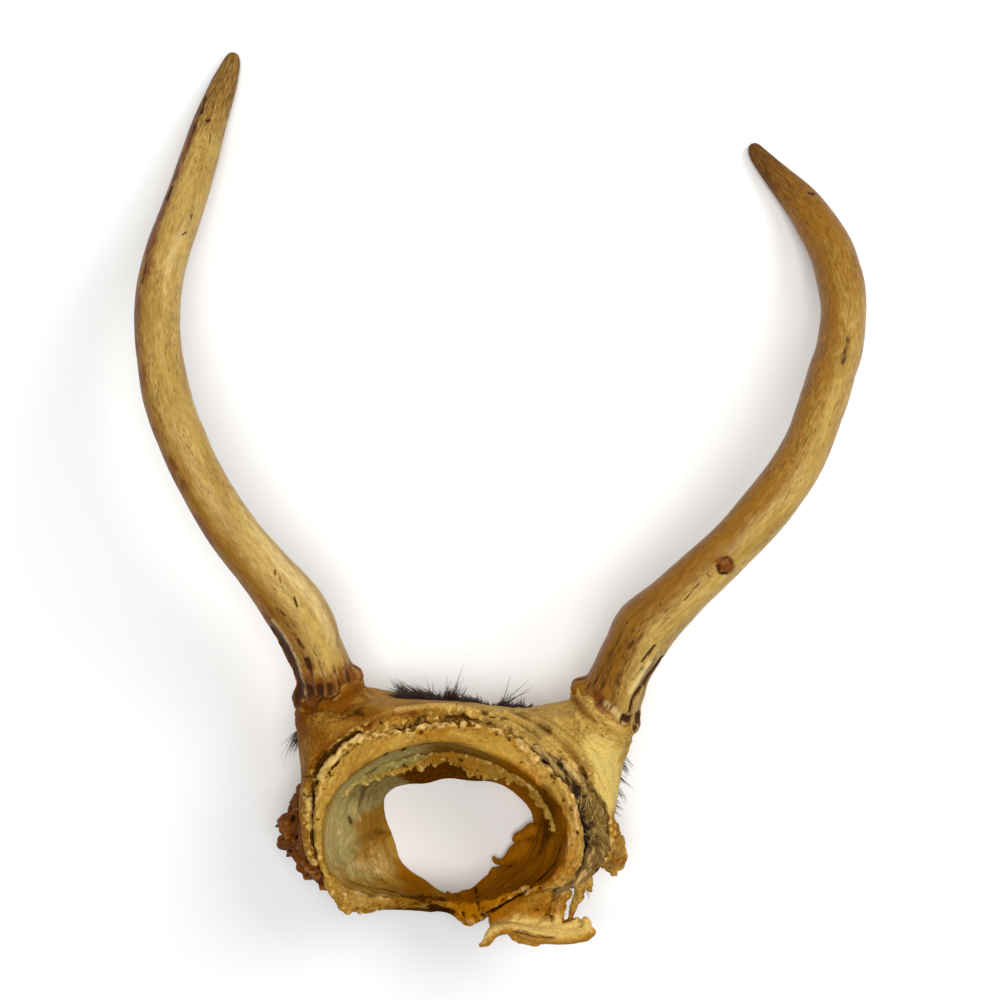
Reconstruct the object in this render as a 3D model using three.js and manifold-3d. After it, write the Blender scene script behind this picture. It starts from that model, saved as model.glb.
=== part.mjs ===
// A pair of spike antlers on a ring of deer skull, sawn out of the head in one slab.
// The ring lies on its front saw cut, which is the plane z = 0. +Y runs from the braincase
// towards the antler tips, and +Z points to the rear of the head. Millimetres.
//
// Ring pieces are lofted round the cavity: a cross-section of [radius, height] pairs is
// placed at each bearing, measured in degrees anticlockwise from +X about the cavity axis.

import * as THREE from 'three';
import { mergeVertices } from 'three/addons/utils/BufferGeometryUtils.js';
import Module from 'manifold-3d';

const { lerp, degToRad, clamp } = THREE.MathUtils;
const v = (x, y, z) => new THREE.Vector3(x, y, z);

// ---------------------------------------------------------------- driving dimensions

const REAR_CUT = 51; // height of the rear saw cut over the front one
const AIR = 0.4; // gap kept between neighbouring pieces
const SEAM = 0.7; // gap between the bone and the soft layers moulded over it
const CAVITY_FRONT = new THREE.Vector2(-16.6, -98.8); // cavity axis on the front cut
const CAVITY_REAR = new THREE.Vector2(-15.3, -90.9); // cavity axis on the rear cut

const BONE_BULGE = 1.5; // how far the braincase swells between its two cuts
const CAVITY_FLARE = 0.8; // under 1 makes the cavity wall steeper behind
const PEDICLE_RADII = [9, 8.2, 7.8]; // from the skull roof to the antler
const SLEEVE_RADII = [12.5, 10.4, 9.3]; // scalp drawn up round each pedicle
const PEDICLE_NECK = 6; // straight stretch of the pedicle under the antler
const BURR_HEIGHT = 4.2;
const BURR_PEARLS = 13;
const BURR_PROFILE = [0.9, 1, 0.86]; // share of the burr's radius, from its foot upwards

const RING_STEP = 6; // degrees between the sections of the braincase
const WALL_STEPS = 5; // facets up the braincase wall

const HORIZON = 28; // height at which the scalp stands out furthest
const SCALP_FRONT = 1.5; // front edge of the scalp, clear of the floor
const SCALP_REAR = 48; // rear edge of the scalp, just short of the saw cut
const SCALP_EDGE = 2.4; // thickness of the scalp at its front and rear edges
const SCALP_LEAST = 1.2; // thinnest that it gets anywhere
const SCALP_SPAN = [-8, 196]; // bearings that the scalp covers

const FLESH_DEPTH = 6.5; // dried chewing muscle on the right flank
const FLESH_MIDDLE = 2; // bearing where it is thickest
const FLESH_REACH = 36; // bearing from there to where it fades out
const FLESH_SPAN = [-27, 31];
const FLESH_HEIGHTS = [12, 22, 34, 45];

const LINING_SPAN = [-8, 150];
const LINING_HEIGHTS = [25, 28];
const LINING_LEAST_WIDTH = 1;

const HAIR_LENGTH = 9.5; // forehead tuft, root to tip
const FLANK_HAIR_LENGTH = 3.8;

// Closed outlines about the cavity axis: [bearing, radius].
const FRONT_HOLE = [
  [0, 24], [30, 20.5], [57, 14], [90, 12.2], [122, 12.7], [145, 17.4], [163, 19],
  [190, 15.5], [235, 17], [262, 20], [290, 21.3], [328, 21],
];
const FRONT_OUTER = [
  [0, 33], [45, 30.5], [90, 29.4], [135, 32.4], [165, 33.6], [210, 32], [240, 28], [270, 25],
  [300, 27], [330, 31],
];
const RIM_INNER = [
  [4, 31], [25, 26.2], [55, 21.9], [90, 21.6], [124, 23.5], [150, 28], [180, 33.5], [214, 33],
  [240, 23.6], [258, 20.8], [274, 22], [290, 24], [312, 26], [334, 32.8],
];
const RIM_OUTER = [
  [8, 35], [31, 30.8], [60, 28.9], [90, 26.7], [118, 27.8], [151, 32.4], [172, 36], [203, 36.5],
  [213, 38], [221, 38.4], [227, 35.4], [234, 31], [243, 26.8], [258, 24.3], [272, 25.6],
  [283, 29.2], [297, 28],
  [318, 29.2], [333, 36.6],
];
const SCALP_OUTER = [
  [-8, 42], [2, 46], [15, 50.3], [21, 52.6], [36, 49], [46, 43], [52, 39.6], [62, 36], [76, 34],
  [90, 33.7], [107, 35.8], [116, 38], [131, 44], [146, 48.6], [152, 46.8], [160, 42.8], [175, 41.4],
  [196, 39.4],
];
const LINING_INNER = [
  [-8, 26], [18, 25.3], [34, 20], [44, 18.3], [53, 15.8], [67, 15.2], [90, 17.1], [120, 17.2],
  [133, 19.6], [142, 22.6], [150, 25],
];
// Height of the rear rim. It is the saw cut all the way, save where the skull floor broke away.
const RIM_HEIGHT = [
  [0, 51], [90, 51], [180, 51], [205, 50], [222, 42], [240, 33], [270, 31], [292, 34], [316, 38],
  [332, 47], [346, 51],
];

// Antler centre lines from burr to tip: [x, y, z, radius].
const ANTLERS = {
  left: {
    spine: [
      [-49.2, -57.1, 33.5, 6.5], [-50.2, -50.9, 36.2, 8], [-52.5, -44.6, 38.8, 8],
      [-54.8, -38.3, 41.5, 8.5], [-58.5, -31.8, 44.5, 8.3], [-65.9, -22.2, 48, 7.2],
      [-73.6, -12, 51, 6.9], [-80.6, -0.5, 52, 6.6], [-86.4, 11.4, 51, 6.5],
      [-91.3, 23.6, 47.5, 6.5], [-94.4, 36.3, 42.5, 6.2], [-95.7, 46.5, 38, 6.2],
      [-95.7, 57.1, 32.5, 6.2], [-94.1, 67.5, 26.5, 6.2], [-91.2, 79.7, 19.5, 5.9],
      [-88, 93.7, 12.8, 5.5], [-85.1, 106.3, 7.5, 4.8], [-82, 116.8, 4.1, 3.9],
      [-79.6, 123.6, 3, 2.9], [-78.3, 127, 3, 1.3],
    ],
    burrBase: [-48.4, -58.8, 32.7],
    burrAxis: [-0.45, 0.8, 0.39],
    burrRadius: 9.9,
    pedicleRoot: [-37.5, -69.6, 24],
  },
  right: {
    spine: [
      [29.1, -61.3, 33.5, 6.5], [30.6, -56.9, 35.3, 8.4], [32.9, -50.6, 38.2, 8],
      [35.7, -44.9, 41, 8.2], [39, -38.7, 44, 8.5], [46.1, -31.4, 47.5, 7.5],
      [55.2, -22.2, 50.5, 6.9], [63.3, -14.4, 51.5, 6.7], [71, -5.9, 50.5, 7],
      [78.2, 3.2, 47.5, 6.9], [83.4, 12.1, 43.5, 6.5], [87.6, 21.7, 38.5, 6.5],
      [91.5, 31.4, 32.5, 6.5], [94.6, 39.8, 27.5, 6.5], [96.5, 50.5, 22, 6.5],
      [96.1, 59.5, 17.6, 6.7], [94.2, 68.3, 13.2, 6.4], [90.5, 76.6, 9, 5.9],
      [85.8, 84, 5.7, 5.3], [79.9, 90.8, 4.2, 4.2], [75.2, 96.5, 3.15, 3.1],
      [72.7, 100.2, 3.3, 1.4],
    ],
    burrBase: [27.7, -62.9, 32.7],
    burrAxis: [0.54, 0.74, 0.4],
    burrRadius: 10.4,
    pedicleRoot: [11.6, -74.5, 24],
  },
};

// Loose lumps and strands: [x, y, z, radius] along each.
const TEMPLE_LUMP = [
  [-54.6, -88, 33, 3], [-57.4, -95.6, 31, 4.8], [-56.2, -103.4, 30, 5.2], [-50.6, -110, 30, 3.4],
];
const EAR_BASE = [[29.4, -97, 27, 2.6], [30.2, -103.6, 27, 4.4], [31, -109, 26, 2]];
const SINEWS = {
  sinew_outer: [[22.8, -104, 35, 2.4], [24.4, -109, 33, 2.2], [26.2, -113.2, 31, 0.9]],
  sinew_inner: [[20.4, -105, 41, 1.9], [20.4, -111, 40, 1.7], [19.2, -117, 38, 1]],
};

// Right temporal bone, seen from behind: its sheet rises away from the cavity.
const TEMPORAL_OUTLINE = [
  [-4.3, -118.2], [-3.5, -123.2], [-6.6, -127.6], [-1.6, -126.8], [2.2, -123.6], [4.8, -125.8],
  [16.5, -125.8], [23, -124.2], [24.4, -121.8], [22.2, -118.2], [19.4, -120.4], [16.6, -119.8],
  [15.5, -116.4], [17.2, -113], [20.4, -108.4], [12, -96], [4, -104], [-3, -110],
];
const TEMPORAL_THICKNESS = 3.4;
const TEMPORAL_LOW = 30; // height of its inner edge
const TEMPORAL_SLOPE = 0.45; // rise per millimetre away from the cavity
const TEMPORAL_START = 28; // distance from the cavity axis where the rise begins

// ---------------------------------------------------------------- outlines and sections

/** Smooth closed outline: value as a function of bearing. */
function outline(points) {
  const laps = [-360, 0, 360].flatMap((turn) => points.map(([b, r]) => [b + turn, r]));
  const bearings = laps.map((point) => point[0]);
  const values = laps.map((point) => point[1]);
  const spline = new THREE.CubicInterpolant(bearings, values, 1, new Float64Array(1));
  return (bearing) => spline.evaluate(((bearing % 360) + 360) % 360)[0];
}

const frontHole = outline(FRONT_HOLE);
const frontOuter = outline(FRONT_OUTER);
const rimInner = outline(RIM_INNER);
const rimOuter = outline(RIM_OUTER);
const scalpOuter = outline(SCALP_OUTER);
const liningInner = outline(LINING_INNER);
const rimHeightCurve = outline(RIM_HEIGHT);
const rimHeight = (bearing) => Math.min(rimHeightCurve(bearing), REAR_CUT);

/** Point at a bearing, radius and height about the leaning cavity axis. */
function around(bearing, radius, z) {
  const centre = CAVITY_FRONT.clone().lerp(CAVITY_REAR, z / REAR_CUT);
  const angle = degToRad(bearing);
  return v(centre.x + radius * Math.cos(angle), centre.y + radius * Math.sin(angle), z);
}

function boneInside(bearing, z) {
  const rise = clamp(z / rimHeight(bearing), 0, 1);
  const flare = Math.sin((rise * Math.PI) / 2) ** CAVITY_FLARE;
  return lerp(frontHole(bearing), rimInner(bearing), flare);
}

function boneOutside(bearing, z) {
  const rise = clamp(z / rimHeight(bearing), 0, 1);
  const bulge = BONE_BULGE * Math.sin(rise * Math.PI);
  return lerp(frontOuter(bearing), rimOuter(bearing), rise) + bulge;
}

/** Depth of the dried muscle on the right flank. */
function fleshDepth(bearing) {
  const turn = ((bearing + 180) % 360) - 180 - FLESH_MIDDLE;
  if (Math.abs(turn) >= FLESH_REACH) {
    return 0;
  }
  return FLESH_DEPTH * Math.cos((turn / FLESH_REACH) * (Math.PI / 2));
}

function scalpInside(bearing, z) {
  const flesh = fleshDepth(bearing);
  return boneOutside(bearing, z) + SEAM + (flesh > 0 ? flesh + SEAM : 0);
}

/** Outer skin: widest at the horizon, drawn in towards both saw cuts. */
function scalpOutside(bearing, z) {
  const edge = scalpInside(bearing, z > HORIZON ? SCALP_REAR : SCALP_FRONT) + SCALP_EDGE;
  const reach = z > HORIZON ? SCALP_REAR - HORIZON : HORIZON - SCALP_FRONT;
  const away = clamp(Math.abs(z - HORIZON) / reach, 0, 1);
  const widest = Math.max(scalpOuter(bearing), edge);
  const swell = lerp(edge, widest, Math.sqrt(1 - away * away));
  return Math.max(swell, scalpInside(bearing, z) + SCALP_LEAST);
}

// ---------------------------------------------------------------- skins and solids

/** Closed skin over rings of equal count; the last ring joins the first, or both are capped. */
function loft(rings, joined) {
  const count = rings[0].length;
  const positions = rings.flat().flatMap((point) => point.toArray());
  const index = [];
  const lastRing = joined ? rings.length : rings.length - 1;
  for (let i = 0; i < lastRing; i++) {
    const here = i * count;
    const next = ((i + 1) % rings.length) * count;
    for (let j = 0; j < count; j++) {
      const k = (j + 1) % count;
      index.push(here + j, here + k, next + k, here + j, next + k, next + j);
    }
  }
  if (!joined) {
    index.push(...cap(rings[0], 0, true));
    index.push(...cap(rings.at(-1), (rings.length - 1) * count, false));
  }
  const geometry = new THREE.BufferGeometry();
  geometry.setAttribute('position', new THREE.Float32BufferAttribute(positions, 3));
  geometry.setIndex(index);
  return facingOut(geometry);
}

/** Triangles that close one end ring, worked out in the ring's own plane. */
function cap(ring, offset, reversed) {
  const across = ring[1].clone().sub(ring[0]).normalize();
  const normal = new THREE.Vector3();
  for (let j = 1; j < ring.length - 1; j++) {
    const a = ring[j].clone().sub(ring[0]);
    normal.add(a.cross(ring[j + 1].clone().sub(ring[0])));
  }
  const up = normal.normalize().clone().cross(across);
  const flat = ring.map((point) => new THREE.Vector2(point.dot(across), point.dot(up)));
  const faces = THREE.ShapeUtils.triangulateShape(flat, []);
  return faces.flatMap(([a, b, c]) => {
    const corners = reversed ? [c, b, a] : [a, b, c];
    return corners.map((corner) => corner + offset);
  });
}

/** Six times the signed volume of an indexed skin; negative when it is inside out. */
function signedVolume(geometry) {
  const index = geometry.getIndex();
  const position = geometry.getAttribute('position');
  const corner = [v(), v(), v()];
  let sum = 0;
  for (let i = 0; i < index.count; i += 3) {
    corner.forEach((point, k) => point.fromBufferAttribute(position, index.getX(i + k)));
    sum += corner[0].dot(corner[1].cross(corner[2]));
  }
  return sum;
}

function facingOut(geometry) {
  if (signedVolume(geometry) < 0) {
    geometry.setIndex(Array.from(geometry.getIndex().array).reverse());
  }
  return geometry;
}

const wasm = await Module();
wasm.setup();

function toSolid(geometry) {
  geometry.deleteAttribute('normal');
  geometry.deleteAttribute('uv');
  const merged = mergeVertices(geometry, 1e-4);
  return new wasm.Manifold(new wasm.Mesh({
    numProp: 3,
    vertProperties: new Float32Array(merged.getAttribute('position').array),
    triVerts: new Uint32Array(merged.getIndex().array),
  }));
}

function toGeometry(solid) {
  const { vertProperties, triVerts } = solid.getMesh();
  const geometry = new THREE.BufferGeometry();
  geometry.setAttribute('position', new THREE.BufferAttribute(vertProperties, 3));
  geometry.setIndex(new THREE.BufferAttribute(triVerts, 1));
  geometry.computeVertexNormals();
  return geometry;
}

/** Round bar of changing girth along [x, y, z, radius] stations; `lobe` swells it by angle. */
function bar(stations, steps, sides, lobe = () => 1) {
  const spine = stations.map(([x, y, z]) => v(x, y, z));
  const curve = new THREE.CatmullRomCurve3(spine, false, 'catmullrom', 0.5);
  const girth = new THREE.SplineCurve(stations.map(([, , , r], i) => new THREE.Vector2(i, r)));
  const frames = curve.computeFrenetFrames(steps);
  const rings = [];
  for (let i = 0; i <= steps; i++) {
    const along = curve.getUtoTmapping(i / steps);
    const centre = curve.getPoint(along);
    const radius = girth.getPoint(along).y;
    const ring = [];
    for (let j = 0; j < sides; j++) {
      const angle = (j / sides) * 2 * Math.PI;
      const reach = radius * lobe(angle, i / steps);
      ring.push(centre.clone()
        .addScaledVector(frames.normals[i], reach * Math.cos(angle))
        .addScaledVector(frames.binormals[i], reach * Math.sin(angle)));
    }
    rings.push(ring);
  }
  return toSolid(loft(rings, false));
}

/** Ring piece between two bearings; `section` gives [radius, height] pairs at a bearing. */
function ringPiece([start, end], steps, section) {
  const rings = [];
  for (let i = 0; i <= steps; i++) {
    const bearing = lerp(start, end, i / steps);
    rings.push(section(bearing).map(([radius, z]) => around(bearing, radius, z)));
  }
  return toSolid(loft(rings, false));
}

// ---------------------------------------------------------------- skull

/** Braincase ring, open front and rear. */
function braincase() {
  const rings = [];
  for (let bearing = 0; bearing < 360; bearing += RING_STEP) {
    const inside = [];
    const outside = [];
    for (let k = 0; k <= WALL_STEPS; k++) {
      const z = (rimHeight(bearing) * k) / WALL_STEPS;
      inside.push(around(bearing, boneInside(bearing, z), z));
      outside.unshift(around(bearing, boneOutside(bearing, z), z));
    }
    rings.push([...inside, ...outside]);
  }
  return toSolid(loft(rings, true));
}

/** The braincase with its cavity filled and air round it, to cut its neighbours with. */
function skullBlock() {
  const rings = [];
  for (const z of [-1, 13, 26, 39, REAR_CUT + 1]) {
    const ring = [];
    for (let bearing = 0; bearing < 360; bearing += RING_STEP) {
      ring.push(around(bearing, boneOutside(bearing, z) + AIR, z));
    }
    rings.push(ring);
  }
  return toSolid(loft(rings, false));
}

/** Stations from the skull roof up to a point just under the antler's burr. */
function pedicleStations({ burrBase, burrAxis, pedicleRoot }, radii, shortfall) {
  const base = v(...burrBase);
  const axis = v(...burrAxis).normalize();
  const neck = base.clone().addScaledVector(axis, -PEDICLE_NECK);
  const top = base.clone().addScaledVector(axis, -shortfall);
  const points = [pedicleRoot, neck.toArray(), top.toArray()];
  return points.map((point, i) => [...point, radii[i]]);
}

function pedicle(antler, grow = 0) {
  const radii = PEDICLE_RADII.map((radius) => radius + grow);
  return bar(pedicleStations(antler, radii, AIR), 4, 14);
}

function skullRing() {
  return braincase().add(pedicle(ANTLERS.left)).add(pedicle(ANTLERS.right));
}

/** Thin sheet of the temporal bone, sheared upwards away from the cavity. */
function temporalBone() {
  const shape = new THREE.Shape(TEMPORAL_OUTLINE.map(([x, y]) => new THREE.Vector2(x, y)));
  const geometry = new THREE.ExtrudeGeometry(shape, {
    depth: TEMPORAL_THICKNESS, bevelEnabled: false,
  });
  const position = geometry.getAttribute('position');
  for (let i = 0; i < position.count; i++) {
    const fromAxis = Math.hypot(position.getX(i) - CAVITY_REAR.x, position.getY(i) - CAVITY_REAR.y);
    const rise = TEMPORAL_SLOPE * Math.max(fromAxis - TEMPORAL_START, 0);
    position.setZ(i, position.getZ(i) + TEMPORAL_LOW + rise);
  }
  return toSolid(geometry).subtract(skullBlock()).subtract(jawMuscleCutter());
}

// ---------------------------------------------------------------- antlers

/** Beam from burr to tip, with the pearled burr across its foot. */
function antler({ spine, burrBase, burrAxis, burrRadius }) {
  const axis = v(...burrAxis).normalize();
  const burr = BURR_PROFILE.map((share, i) => {
    const height = (i / (BURR_PROFILE.length - 1)) * BURR_HEIGHT;
    const centre = v(...burrBase).addScaledVector(axis, height);
    return [...centre.toArray(), burrRadius * share];
  });
  const pearls = (angle) => 1 + 0.06 * Math.cos(BURR_PEARLS * angle);
  return bar(spine, 44, 14).add(bar(burr, 3, 2 * BURR_PEARLS, pearls));
}

// ---------------------------------------------------------------- skin, flesh and hair

function sleeve(antlerSpec, grow = 0) {
  const radii = SLEEVE_RADII.map((radius) => radius + grow);
  return bar(pedicleStations(antlerSpec, radii, 2 * AIR), 4, 14);
}

function scalpSkin(grow = 0) {
  const outerHeights = [SCALP_REAR, 45, 37, HORIZON, 17, 6, SCALP_FRONT];
  const innerHeights = [SCALP_FRONT, 14, 25, 37, SCALP_REAR];
  const ring = ringPiece(SCALP_SPAN, 34, (bearing) => [
    ...outerHeights.map((z) => [scalpOutside(bearing, z) + grow, z]),
    ...innerHeights.map((z) => [scalpInside(bearing, z) - grow, z]),
  ]);
  return ring.add(sleeve(ANTLERS.left, grow)).add(sleeve(ANTLERS.right, grow));
}

/** The sleeves start inside the skull and the muscle, so both are cut out of the scalp. */
function scalpHide() {
  return scalpSkin()
    .subtract(skullBlock())
    .subtract(pedicle(ANTLERS.left, SEAM))
    .subtract(pedicle(ANTLERS.right, SEAM))
    .subtract(jawMuscleCutter());
}

function jawMuscle() {
  return ringPiece(FLESH_SPAN, 14, (bearing) => {
    const inner = (z) => boneOutside(bearing, z) + SEAM;
    const outer = FLESH_HEIGHTS.map((z) => [inner(z) + fleshDepth(bearing), z]);
    const back = FLESH_HEIGHTS.map((z) => [inner(z), z]).reverse();
    return [...outer, ...back];
  }).subtract(pedicle(ANTLERS.right, SEAM));
}

function brainLining() {
  const [low, high] = LINING_HEIGHTS;
  return ringPiece(LINING_SPAN, 28, (bearing) => {
    const wall = (z) => boneInside(bearing, z) - AIR;
    const lip = Math.min(liningInner(bearing), wall(low) - LINING_LEAST_WIDTH);
    return [[wall(low), low], [wall(high), high], [lip, high], [lip, low]];
  });
}

const lumpy = (angle, along) => 1 + 0.12 * Math.sin(3 * angle + 9 * along) * Math.cos(2 * angle);

function templeMuscle() {
  return bar(TEMPLE_LUMP, 10, 12, lumpy).subtract(skullBlock()).subtract(scalpSkin(AIR));
}

function earBase() {
  return bar(EAR_BASE, 6, 10, lumpy).subtract(scalpSkin(AIR)).subtract(jawMuscleCutter());
}

/** The jaw muscle with air round it. */
function jawMuscleCutter() {
  const [start, end] = FLESH_SPAN;
  return ringPiece([start - 1, end + 1], 16, (bearing) => {
    const outer = (z) => boneOutside(bearing, z) + fleshDepth(bearing) + SEAM + AIR;
    const [low, ...rest] = FLESH_HEIGHTS;
    const heights = [low - AIR, ...rest.slice(0, -1), rest.at(-1) + AIR];
    return [
      ...heights.map((z) => [outer(z), z]),
      ...heights.map((z) => [boneOutside(bearing, z), z]).reverse(),
    ];
  });
}

function sinew(stations) {
  return bar(stations, 8, 8)
    .subtract(jawMuscleCutter())
    .subtract(skullBlock())
    .subtract(scalpSkin(AIR));
}

/** Envelope of a patch of hair that grows on the scalp and leans out to its tips. */
function hairPatch(span, length, heights) {
  return ringPiece(span, 12, (bearing) => {
    const middle = (span[0] + span[1]) / 2;
    const fade = Math.cos(((bearing - middle) / (span[1] - span[0])) * Math.PI * 0.8);
    const roots = heights.map((z) => [scalpOutside(bearing, z) + 2 * AIR, z]);
    const tips = heights.map((z, i) => {
      const lean = 0.55 + (0.45 * i) / (heights.length - 1);
      return [scalpOutside(bearing, z) + 2 * AIR + length * lean * fade, z];
    });
    return [...roots, ...tips.reverse()];
  }).subtract(scalpSkin(AIR));
}

// ---------------------------------------------------------------- the assembly

const finishes = {
  antlerLeft: { color: 0xb08a4c, roughness: 0.55, metalness: 0 },
  antlerRight: { color: 0xab8244, roughness: 0.55, metalness: 0 },
  bone: { color: 0xb89a58, roughness: 0.7, metalness: 0 },
  plate: { color: 0x9a6a22, roughness: 0.55, metalness: 0 },
  hide: { color: 0x9a6c30, roughness: 0.75, metalness: 0 },
  flesh: { color: 0x5c3414, roughness: 0.8, metalness: 0 },
  fibre: { color: 0x8d7750, roughness: 0.85, metalness: 0 },
  lining: { color: 0xa48f58, roughness: 0.6, metalness: 0 },
  hair: { color: 0x2a1c14, roughness: 0.9, metalness: 0 },
};

const deerAntlers = new THREE.Group();

function addPiece(name, solid, finish) {
  const mesh = new THREE.Mesh(toGeometry(solid), new THREE.MeshStandardMaterial(finish));
  mesh.name = name;
  deerAntlers.add(mesh);
}

addPiece('skull_ring', skullRing(), finishes.bone);
addPiece('temporal_bone', temporalBone(), finishes.plate);
addPiece('antler_left', antler(ANTLERS.left), finishes.antlerLeft);
addPiece('antler_right', antler(ANTLERS.right), finishes.antlerRight);
addPiece('scalp_hide', scalpHide(), finishes.hide);
addPiece('temple_muscle', templeMuscle(), finishes.flesh);
addPiece('jaw_muscle', jawMuscle(), finishes.fibre);
addPiece('ear_base', earBase(), finishes.fibre);
addPiece('brain_lining', brainLining(), finishes.lining);
for (const [name, stations] of Object.entries(SINEWS)) {
  addPiece(name, sinew(stations).subtract(temporalBone()), finishes.fibre);
}
addPiece('forehead_hair', hairPatch([60, 117], HAIR_LENGTH, [4, 14, 25]), finishes.hair);
addPiece('flank_hair_left', hairPatch([147, 157], FLANK_HAIR_LENGTH, [14, 20, 27]), finishes.hair);
addPiece('flank_hair_right', hairPatch([4, 24], FLANK_HAIR_LENGTH, [14, 20, 27]), finishes.hair);

export default deerAntlers;
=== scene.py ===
"""Spike antlers on a sawn ring of deer skull, with dried scalp, flesh and hair.

The ring lies on its front saw cut with both antler tips on the floor, and the camera looks
straight down on it. Lengths in the classes are millimetres, and they become metres where a mesh
is made. Bearings are degrees anticlockwise from +X about the axis of the brain cavity.
"""

import logging
import math
from dataclasses import dataclass, field
from enum import Enum
from typing import Callable, Sequence

import bpy
import numpy as np
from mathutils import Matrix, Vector


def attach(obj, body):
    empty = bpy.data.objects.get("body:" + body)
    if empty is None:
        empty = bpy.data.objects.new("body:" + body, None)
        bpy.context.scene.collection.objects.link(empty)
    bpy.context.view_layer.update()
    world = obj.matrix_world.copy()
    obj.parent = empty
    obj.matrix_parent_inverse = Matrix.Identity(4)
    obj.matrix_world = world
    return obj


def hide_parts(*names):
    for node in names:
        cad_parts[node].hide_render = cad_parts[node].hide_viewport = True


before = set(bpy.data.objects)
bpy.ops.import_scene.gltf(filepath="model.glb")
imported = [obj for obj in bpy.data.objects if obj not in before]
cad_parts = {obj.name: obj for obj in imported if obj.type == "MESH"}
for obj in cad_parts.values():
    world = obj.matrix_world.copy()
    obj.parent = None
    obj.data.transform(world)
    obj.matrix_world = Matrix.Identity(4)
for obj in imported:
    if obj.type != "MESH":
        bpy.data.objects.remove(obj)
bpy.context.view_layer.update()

LOG = logging.getLogger("antlers")
MM = 0.001
Array = np.ndarray
Field = Callable[[Array], Array]
Spot = tuple[float, float]
Station = tuple[float, float, float, float]  # x, y, z and the girth there


class Tone(Enum):
    """Stains, and painted shade and highlights, that a surface carries, each kept as a mask on its
    vertices.
    """

    SOIL = "soil"  # dark grime, and painted shade in hollows, in the deep cavity and between parts
    PALE = "pale"  # rubbed or bleached high spots, and painted highlights on crests, folds and the lit side of the antlers
    RUST = "rust"  # reddish brown stain
    WASH = "wash"  # broad second colour of the surface; on the antlers a brown that is partly stain and partly painted shade


SOIL, PALE, RUST, WASH = Tone


# ------------------------ numbers and noise


def fade(value: Array, low: float, high: float) -> Array:
    """Smooth step from 0 at low to 1 at high."""
    share = np.clip((value - low) / (high - low), 0.0, 1.0)
    return share * share * (3.0 - 2.0 * share)


def fall(value: Array, low: float, high: float) -> Array:
    """Smooth step from 1 at low to 0 at high."""
    return 1.0 - fade(value, low, high)


def blend_min(a: Array, b: Array, reach: float) -> Array:
    """Lower of two fields with a fillet of about that reach between them."""
    share = np.clip(0.5 + 0.5 * (b - a) / reach, 0.0, 1.0)
    return b * (1.0 - share) + a * share - reach * share * (1.0 - share)


def blend_max(a: Array, b: Array, reach: float) -> Array:
    """Higher of two fields with a rounding of about that reach between them."""
    return -blend_min(-a, -b, reach)


class Noise:
    """Seeded smooth noise in space, from about -1 to 1."""

    def __init__(self, seed: int) -> None:
        """Fill a repeating lattice with random values."""
        draws = np.random.default_rng(seed).uniform(-1.0, 1.0, (32, 32, 32))
        self.lattice = draws.astype(np.float32)

    def at(self, points: Array, size: float) -> Array:
        """Noise whose bumps are about size across.

        Args:
            points: One row of three numbers for each point.
            size: Width of a bump, in the points' unit.

        Returns:
            One value for each point.
        """
        scaled = points / size + 7.3
        cell = np.floor(scaled).astype(np.int64)
        part = scaled - cell
        part = part * part * (3.0 - 2.0 * part)
        total = np.zeros(len(points))
        for corner in range(8):
            step = np.array([corner & 1, corner >> 1 & 1, corner >> 2 & 1])
            weight = np.prod(np.where(step, part, 1.0 - part), axis=1)
            i, j, k = ((cell + step) & 31).T
            total += weight * self.lattice[i, j, k]
        return total

    def layered(self, points: Array, size: float, layers: int = 3) -> Array:
        """Noise summed over layers, each half the size and half the strength of the last.

        Args:
            points: Rows of [x, y, z].
            size: Width of the largest bumps.
            layers: How many sizes are summed.

        Returns:
            One value for each point.
        """
        total = np.zeros(len(points))
        for layer in range(layers):
            total += self.at(points + 11.0 * layer, size / 2**layer) / 2**layer
        return total * 0.7


class Outline:
    """Smooth closed outline: a value for each bearing, through a few given ones."""

    def __init__(self, *pairs: tuple[float, float]) -> None:
        """Keep (bearing, value) pairs over three turns, with a slope at each.

        Args:
            *pairs: Bearings in degrees and the values there.
        """
        turns = [(bearing + turn, value) for turn in (-360, 0, 360) for bearing, value in pairs]
        self.bearings, self.values = (np.array(column, float) for column in zip(*turns))
        self.slopes = np.gradient(self.values, self.bearings)

    def __call__(self, bearing: Array) -> Array:
        """Value at each bearing, by cubic pieces that meet smoothly.

        Args:
            bearing: Degrees.

        Returns:
            The value at each bearing.
        """
        turn = np.mod(bearing, 360.0)
        i = np.clip(np.searchsorted(self.bearings, turn, side="right") - 1, 0, None)
        span = self.bearings[i + 1] - self.bearings[i]
        t = (turn - self.bearings[i]) / span
        start = self.values[i] * (1 + 2 * t) * (1 - t) ** 2
        end = self.values[i + 1] * t * t * (3 - 2 * t)
        lean = self.slopes[i] * t * (1 - t) ** 2 - self.slopes[i + 1] * t * t * (1 - t)
        return start + end + lean * span


def smooth_path(stations: Sequence[Sequence[float]], steps: int) -> Array:
    """Catmull-Rom curve through rows of numbers.

    Args:
        stations: The rows that the curve passes through.
        steps: Points made between each two rows.

    Returns:
        Rows of the same width along the curve.
    """
    rows = np.array(stations, float)
    padded = np.vstack([2 * rows[0] - rows[1], rows, 2 * rows[-1] - rows[-2]])
    pieces = []
    for i in range(1, len(padded) - 2):
        p0, p1, p2, p3 = padded[i - 1 : i + 3]
        t = np.linspace(0.0, 1.0, steps, endpoint=False)[:, None]
        pieces.append(
            0.5
            * (
                2 * p1
                + (p2 - p0) * t
                + (2 * p0 - 5 * p1 + 4 * p2 - p3) * t**2
                + (3 * p1 - p0 - 3 * p2 + p3) * t**3
            )
        )
    return np.vstack([*pieces, rows[-1:]])


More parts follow.
